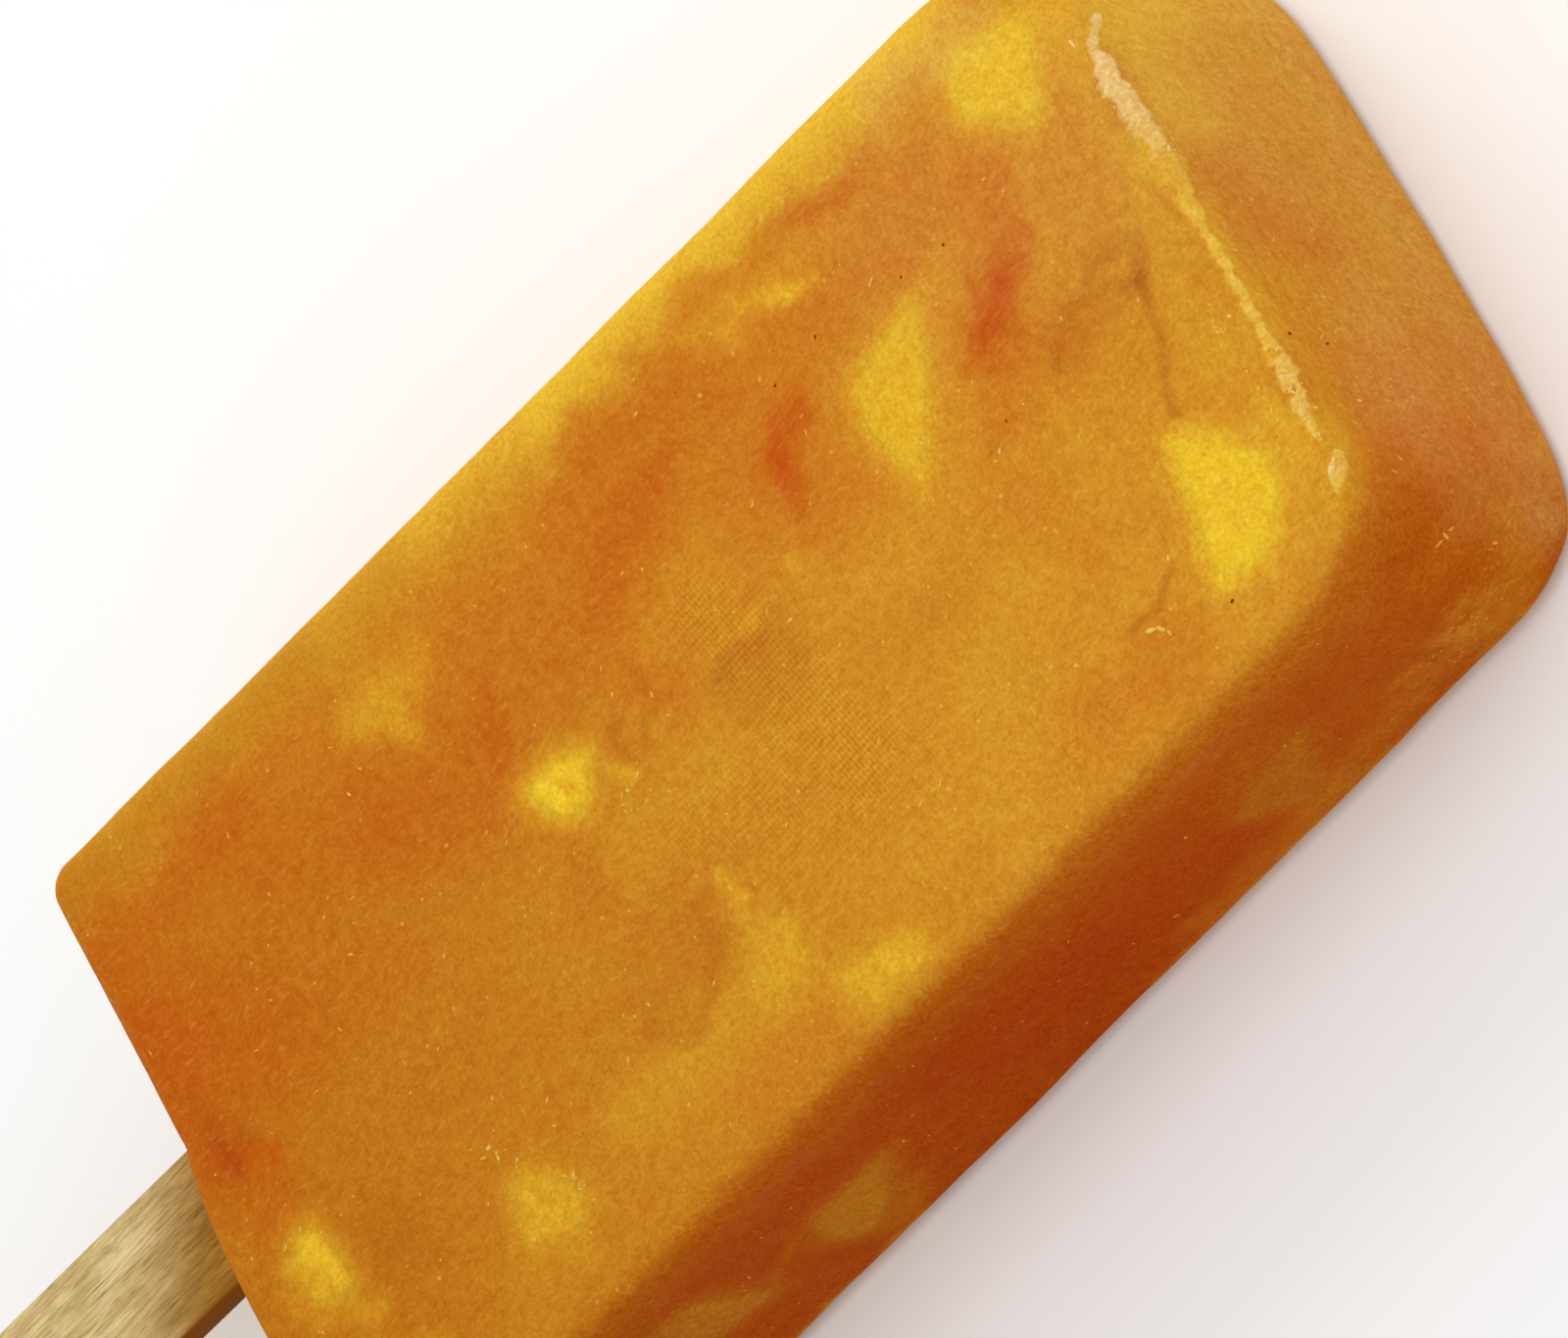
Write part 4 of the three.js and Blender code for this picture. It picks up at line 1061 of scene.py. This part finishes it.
def add(tree, kind, inputs=None, **settings):
    """Adds a shader node, sets its properties, and fills its sockets, by name or number, with a
    value or with a link from another node's first live output or from a given output. By number,
    Map Range has its old range in 1 and 2 and its new one in 3 and 4, and Mix has its share in 0
    and its two colours in 6 and 7."""
    node = tree.nodes.new("ShaderNode" + kind)
    for key, value in settings.items():
        setattr(node, key, value)
    for key, value in (inputs or {}).items():
        socket = node.inputs[key]
        if isinstance(value, bpy.types.Node):
            value = next(output for output in value.outputs if output.enabled)
        if isinstance(value, bpy.types.NodeSocket):
            tree.links.new(value, socket)
        else:
            socket.default_value = (*value, 1.0) if socket.type == "RGBA" else value
    return node


def new_material(name, marks=()):
    """A new material, its tree, the places on the part, and how strong each mark is there."""
    material = bpy.data.materials.new(name)
    material.use_nodes = True
    tree = material.node_tree
    tree.nodes.clear()
    place = add(tree, "TexCoord").outputs["Object"]
    strength = {mark: add(tree, "Attribute", attribute_name=mark).outputs["Fac"] for mark in marks}
    return material, tree, place, strength


# Noises in the ice: the size of their lumps (mm), how much finer detail they hold, and whether
# they lie still, drift with the pulp or are combed along the mould as well
ICE_NOISES = {
    "clouds": (13, 3.0, "drifted"),
    "mottles": (2.4, 4.0, "drifted"),
    "patches": (0.8, 2.0, "drifted"),
    "strands": (0.24, 1.0, "combed"),
    "crystals": (0.4, 2.0, "still"),
    "grain": (0.28, 1.0, "still"),
}
ROUGH = 0.6  # how strong each finer octave of the ice's noises is
DRIFT = (15 * MM, 6 * MM)  # the size over which the pulp drifts, and how far from end to end
COMB = {"Rotation": (0, 0, 0.1), "Scale": (0.22, 1, 1)}
# The pressed mesh: each set of ridges with its pitch (mm) and how far it is turned from X
RIDGES = {"warp": (0.34, -0.22), "weft": (0.45, 1.53)}
HONEY_FROM, HONEY_TO = -42 * MM, 20 * MM  # X over which amber turns to honey
# Each mark, the noise that its strength swings with, how much, how it blends, and its colour
ICE_TINTS = (
    ("glow", "mottles", 0.08, "MIX", "gold"),
    ("stain", "mottles", 0.3, "MIX", "ember"),
    ("vein", "patches", 0.5, "MIX", "umber"),
    ("painted_shade", "mottles", 0.04, "MULTIPLY", "painted_shade"),
    ("mango", "mottles", 0.3, "MIX", "flesh"),
    ("rime", "crystals", 0.6, "MIX", "rime"),
)
# What multiplies the colour of a dark grain and of a light one
GRAIN_DARK, GRAIN_LIGHT = (0.88, 0.7, 0.5), (1.08, 1.24, 1.4)
GRAIN_CALM = 0.6  # how much of the patches goes where light comes through
# Flecks and specks: the size of a cell (mm), their reach in it, what share of the cells stays
# empty, and their colour
CELLS = ((1.6, 0.11, 0.5, "fibre"), (5.0, 0.035, 0.45, "umber"))
# Reliefs: the noise, its strength and its height
ICE_RELIEF = (("mottles", 0.5, 0.14 * MM), ("grain", 0.6, 0.06 * MM))
WOOD_RELIEF = (("lines", 0.6, 0.05 * MM), ("pores", 0.4, 0.04 * MM))


def fruit_ice(name, colours, shine, glow_through):
    """Frozen mango puree, moulded: clouds of pulp in amber ice, mango, stains and veins where the
    attributes say, a painted glow of light and a painted shade, a fine frosted grain with short
    pale fibres, and rime, on a skin that light sinks into."""
    material, tree, place, strength = new_material(name, (*MARKS, "painted_shade"))

    # Pulp drifts: places are shifted before its noises are read
    size, far = DRIFT
    drift = add(tree, "TexNoise", {"Vector": place, "Scale": 1 / size, "Roughness": ROUGH}).outputs["Color"]
    centred = add(tree, "VectorMath", {0: drift, 1: (0.5,) * 3}, operation="SUBTRACT")
    drifted = add(tree, "VectorMath", {0: centred, 1: (far,) * 3, 2: place}, operation="MULTIPLY_ADD")
    ways = {"still": place, "drifted": drifted, "combed": add(tree, "Mapping", {"Vector": drifted} | COMB)}
    noise = {}
    for texture, (size, detail, way) in ICE_NOISES.items():
        lumps = {"Vector": ways[way], "Scale": 1 / (size * MM), "Detail": detail, "Roughness": ROUGH}
        noise[texture] = add(tree, "TexNoise", lumps)

    # A fine mesh that the mould has pressed in: two sets of ridges that cross
    for ridges, (pitch, turn) in RIDGES.items():
        way = add(tree, "Mapping", {"Vector": place, "Rotation": (0, 0, turn)})
        # The texture repeats every pi / 10 of its own units
        size = {"Vector": way, "Scale": np.pi / 10 / (pitch * MM), "Distortion": 1.0, "Detail Scale": 0.4}
        noise[ridges] = add(tree, "TexWave", size).outputs["Fac"]

    # Amber at the base, honey towards the tip, and clouds of rust in both
    along = add(tree, "SeparateXYZ", {0: place}).outputs["X"]
    towards_tip = add(tree, "MapRange", {"Value": along, 1: HONEY_FROM, 2: HONEY_TO})
    cloud = add(tree, "MapRange", {"Value": noise["clouds"], 1: 0.42, 2: 0.7, 3: 0.0, 4: 0.22})
    colour = colours.amber
    for share, tint in ((towards_tip, colours.honey), (cloud, colours.rust)):
        colour = add(tree, "Mix", {0: share, 6: colour, 7: tint}, data_type="RGBA")

    # Painted shade: mango and fibres turn to the shaded mango colour where the painted shade lies
    tints = {tint: getattr(colours, tint) for *_, tint in ICE_TINTS + CELLS}
    for tint in ("flesh", "fibre"):
        in_shade = {0: strength["painted_shade"], 6: tints[tint], 7: colours.shaded_flesh}
        tints[tint] = add(tree, "Mix", in_shade, data_type="RGBA")

    # Then the marks, from the bottom up, each with a ragged border: its strength swings with a
    # noise. The glow is painted light, and the painted shade darkens what is under it
    for mark, texture, swing, blend, tint in ICE_TINTS:
        ragged = add(tree, "Math", {0: noise[texture], 1: 2 * swing, 2: 1 - swing}, operation="MULTIPLY_ADD")
        share = add(tree, "Math", {0: ragged, 1: strength[mark]}, operation="MULTIPLY", use_clamp=True)
        layer = {0: share, 6: colour, 7: tints[tint]}
        colour = add(tree, "Mix", layer, data_type="RGBA", blend_type=blend)

    # Frosted grain: dark grains are redder and light ones yellower, the more so in the painted shade,
    # and the painted glow evens them out
    calm = add(tree, "Math", {0: strength["glow"], 1: -GRAIN_CALM, 2: 1.0}, operation="MULTIPLY_ADD")
    worn = (("grain", 1.0), ("patches", calm), ("grain", strength["painted_shade"]))
    pressed = (("warp", strength["mesh"]), ("weft", strength["mesh"]))
    for texture, most in worn + pressed:
        share = add(tree, "MapRange", {"Value": noise[texture], 1: 0.1, 2: 0.9})
        grains = add(tree, "Mix", {0: share, 6: GRAIN_DARK, 7: GRAIN_LIGHT}, data_type="RGBA")
        layer = {0: most, 6: colour, 7: grains}
        colour = add(tree, "Mix", layer, data_type="RGBA", blend_type="MULTIPLY")

    # Fibres: the crests of a noise that is drawn out along the mould
    fibre = add(tree, "MapRange", {"Value": noise["strands"], 1: 0.58, 2: 0.8, 3: 0.0, 4: 0.16})
    colour = add(tree, "Mix", {0: fibre, 6: colour, 7: tints["fibre"]}, data_type="RGBA")

    # Pale flecks a third of a millimetre across, and rarer dark specks of fruit skin: the middles
    # of some of a pattern's cells
    for size, reach, empty, tint in CELLS:
        cells = add(tree, "TexVoronoi", {"Vector": drifted, "Scale": 1 / (size * MM)})
        inside = {"Value": cells.outputs["Distance"], 1: reach, 2: reach * 0.3, 3: 0.0, 4: 0.5}
        near = add(tree, "MapRange", inside)
        lot = add(tree, "SeparateColor", {0: cells.outputs["Color"]}).outputs[0]
        chosen = add(tree, "Math", {0: lot, 1: empty}, operation="GREATER_THAN")
        share = add(tree, "Math", {0: near, 1: chosen}, operation="MULTIPLY")
        colour = add(tree, "Mix", {0: share, 6: colour, 7: tints[tint]}, data_type="RGBA")

    normal = {}
    for texture, share, height in ICE_RELIEF:
        layer = {"Height": noise[texture], "Strength": share, "Distance": height}
        normal = {"Normal": add(tree, "Bump", layer | normal)}
    matt = {"Value": noise["mottles"], 1: 0.3, 2: 0.7, 3: shine - 0.06, 4: shine + 0.1}
    skin = {
        "Base Color": colour,
        "Roughness": add(tree, "MapRange", matt),
        "IOR": 1.31,
        "Specular IOR Level": 0.015,
        "Subsurface Weight": glow_through,
        "Subsurface Radius": (1.0, 0.42, 0.12),
        "Subsurface Scale": 2.0 * MM,
    }
    add(tree, "OutputMaterial", {"Surface": add(tree, "BsdfPrincipled", skin | normal)})
    return material


# Noises in the wood: how much they are stretched along the grain, their width (mm) and detail
WOOD_NOISES = {
    "bands": (0.1, 1.5, 2.0),
    "lines": (0.055, 0.2, 3.0),
    "pores": (0.09, 0.18, 2.0),
    "patches": (0.5, 2.6, 3.0),
}
# Each noise, where it starts to show and shows in full, how strongly, and its colour
WOOD_TINTS = (
    ("bands", 0.4, 0.68, 0.4, "grain"),
    ("patches", 0.42, 0.68, 0.6, "grain"),
    ("lines", 0.44, 0.66, 0.75, "grain"),
    ("pores", 0.56, 0.72, 0.55, "pore"),
)


def birch(name, colours):
    """Birch, rotary cut, stamped and sanded: pale, with soft bands, long thin grain lines and short
    pores, a painted shadow of the block near the ice and painted shade along its edge."""
    material, tree, place, strength = new_material(name, ("block_shadow", "rim"))
    noise = {}
    for texture, (stretch, width, detail) in WOOD_NOISES.items():
        way = add(tree, "Mapping", {"Vector": place, "Scale": (stretch, 1, 1)})
        size = {"Vector": way, "Scale": 1 / (width * MM), "Detail": detail, "Roughness": 0.62}
        noise[texture] = add(tree, "TexNoise", size)
    colour = colours.wood
    for texture, low, high, most, tint in WOOD_TINTS:
        share = add(tree, "MapRange", {"Value": noise[texture], 1: low, 2: high, 3: 0.0, 4: most})
        layer = {0: share, 6: colour, 7: getattr(colours, tint)}
        colour = add(tree, "Mix", layer, data_type="RGBA")
    # The block's painted shadow is multiplied in, and the painted shade of the edge is mixed in
    for mark, blend, tint in (("block_shadow", "MULTIPLY", colours.block_shadow_tint), ("rim", "MIX", colours.shaded_edge)):
        layer = {0: strength[mark], 6: colour, 7: tint}
        colour = add(tree, "Mix", layer, data_type="RGBA", blend_type=blend)
    normal = {}
    for texture, share, height in WOOD_RELIEF:
        layer = {"Height": noise[texture], "Strength": share, "Distance": height}
        normal = {"Normal": add(tree, "Bump", layer | normal)}
    dull = {
        "Base Color": colour,
        "Roughness": add(tree, "MapRange", {"Value": noise["lines"], 1: 0.3, 2: 0.7, 3: 0.62, 4: 0.8}),
        "Specular IOR Level": 0.05,
    }
    add(tree, "OutputMaterial", {"Surface": add(tree, "BsdfPrincipled", dull | normal)})
    return material


def painted_board(name, colours):
    """The floor: a board painted matt white, with the faintest unevenness."""
    material, tree, place, _ = new_material(name)
    brushing = add(tree, "TexNoise", {"Vector": place, "Scale": 1 / (60 * MM), "Detail": 2.0})
    tone = add(tree, "MapRange", {"Value": brushing, 3: 0.985, 4: 1.0})
    colour = add(tree, "VectorMath", {0: colours.floor, "Scale": tone}, operation="SCALE")
    paint = add(tree, "BsdfPrincipled", {"Base Color": colour, "Roughness": 0.7})
    add(tree, "OutputMaterial", {"Surface": paint})
    return material


# ---- Operators ----


class PieceMaker:
    """What the pieces' operators share: they make them on the block, in the scene's colours."""

    def execute(self, context):
        self.make(Block(context.scene.lolly_sizes), context.scene.lolly_colours)
        return {"FINISHED"}


class LOLLY_OT_ice_block(PieceMaker, Operator):
    """Makes the block of frosted mango ice"""

    bl_idname = "lolly.ice_block"
    bl_label = "Mango Ice Block"

    def make(self, block, colours):
        ice_block_piece(block, fruit_ice("Mango ice, moulded and frosted", colours, 0.52, 0.25))


class LOLLY_OT_diced_mango(PieceMaker, Operator):
    """Makes every dice of mango in the four faces"""

    bl_idname = "lolly.diced_mango"
    bl_label = "Diced Mango"

    def make(self, block, colours):
        material = fruit_ice("Mango flesh, diced and frozen", colours, 0.46, 0.25)
        for face, chunks in CHUNKS.items():
            for number, chunk in enumerate(chunks, 1):
                chunk_piece(block, face, number, chunk, material)


class LOLLY_OT_frost(PieceMaker, Operator):
    """Makes the frost on the tip's edge and the loose flecks"""

    bl_idname = "lolly.frost"
    bl_label = "Frost"

    def make(self, block, colours):
        material = fruit_ice("Hoar frost on mango ice", colours, 0.6, 0.0)
        for name, stations in FROST_CRUSTS.items():
            frost_piece(block, name, stations, material)
        grain_piece(block, FROST_CRUSTS["tip_frost"], material)
        fleck_piece(block, material)


class LOLLY_OT_stick(PieceMaker, Operator):
    """Makes the flat birch stick"""

    bl_idname = "lolly.stick"
    bl_label = "Birch Stick"

    def make(self, block, colours):
        stick_piece(block.sizes, birch("Birch, rotary cut and sanded", colours))


class LOLLY_OT_stage(Operator):
    """Makes the floor, the lamps, the sky and the camera"""

    bl_idname = "lolly.stage"
    bl_label = "Stage"

    def execute(self, context):
        scene = context.scene
        half = FLOOR_SIZE / 2
        mesh = bpy.data.meshes.new("floor")
        corners = [(-half, -half, 0), (half, -half, 0), (half, half, 0), (-half, half, 0)]
        mesh.from_pydata(corners, [], [(0, 1, 2, 3)])
        mesh.materials.append(painted_board("Board, painted matt white", scene.lolly_colours))
        floor = new_object("floor", mesh)

        for name, (place, width, power) in LAMPS.items():
            lamp = bpy.data.lights.new(name, "AREA")
            lamp.size = width
            lamp.energy = power
            hung = new_object(name, lamp)
            hung.location = place
            hung.rotation_euler = (-Vector(place)).to_track_quat("-Z", "Y").to_euler()

        sky = bpy.data.worlds.new("sky")
        sky.use_nodes = True
        background = sky.node_tree.nodes["Background"]
        background.inputs["Color"].default_value = (1, 1, 1, 1)
        background.inputs["Strength"].default_value = SKY_STRENGTH
        scene.world = sky
        scene.view_settings.view_transform = "Standard"

        azimuth, elevation, roll = np.radians(CAMERA_ANGLES)
        level = Vector((np.cos(azimuth), np.sin(azimuth), 0))
        flat = np.cos(elevation)
        back = Vector((np.sin(azimuth) * flat, -np.cos(azimuth) * flat, np.sin(elevation)))
        upright = back.cross(level)
        right = level * np.cos(roll) + upright * np.sin(roll)
        up = upright * np.cos(roll) - level * np.sin(roll)
        lens = bpy.data.cameras.new("camera")
        lens.lens = CAMERA_LENS
        lens.sensor_width = CAMERA_SENSOR
        lens.clip_start, lens.clip_end = CAMERA_CLIP
        camera = new_object("camera", lens)
        turned = Matrix((right, up, back)).transposed().to_4x4()
        camera.matrix_world = Matrix.Translation(CAMERA_TARGET + back * CAMERA_DISTANCE) @ turned
        scene.camera = camera
        return {"FINISHED"}


class LOLLY_PT_pieces(Panel):
    """Lists the lolly's pieces, sizes and colours"""

    bl_label = "Fruit Ice Lolly"
    bl_idname = "LOLLY_PT_pieces"
    bl_space_type = "VIEW_3D"
    bl_region_type = "UI"
    bl_category = "Lolly"

    def draw(self, context):
        for operator in OPERATORS:
            self.layout.operator(operator.bl_idname)
        for settings in (context.scene.lolly_sizes, context.scene.lolly_colours):
            box = self.layout.box()
            for name in settings.bl_rna.properties.keys():
                if name not in ("rna_type", "name"):
                    box.prop(settings, name)


OPERATORS = (LOLLY_OT_ice_block, LOLLY_OT_diced_mango, LOLLY_OT_frost, LOLLY_OT_stick, LOLLY_OT_stage)
CLASSES = (LollySizes, LollyColours, *OPERATORS, LOLLY_PT_pieces)


def register():
    for cls in CLASSES:
        bpy.utils.register_class(cls)
    bpy.types.Scene.lolly_sizes = PointerProperty(type=LollySizes)
    bpy.types.Scene.lolly_colours = PointerProperty(type=LollyColours)


def unregister():
    del bpy.types.Scene.lolly_colours
    del bpy.types.Scene.lolly_sizes
    for cls in reversed(CLASSES):
        bpy.utils.unregister_class(cls)


def main():
    register()
    bpy.ops.lolly.ice_block()
    bpy.ops.lolly.diced_mango()
    bpy.ops.lolly.frost()
    bpy.ops.lolly.stick()
    bpy.ops.lolly.stage()


if __name__ == "__main__":
    main()
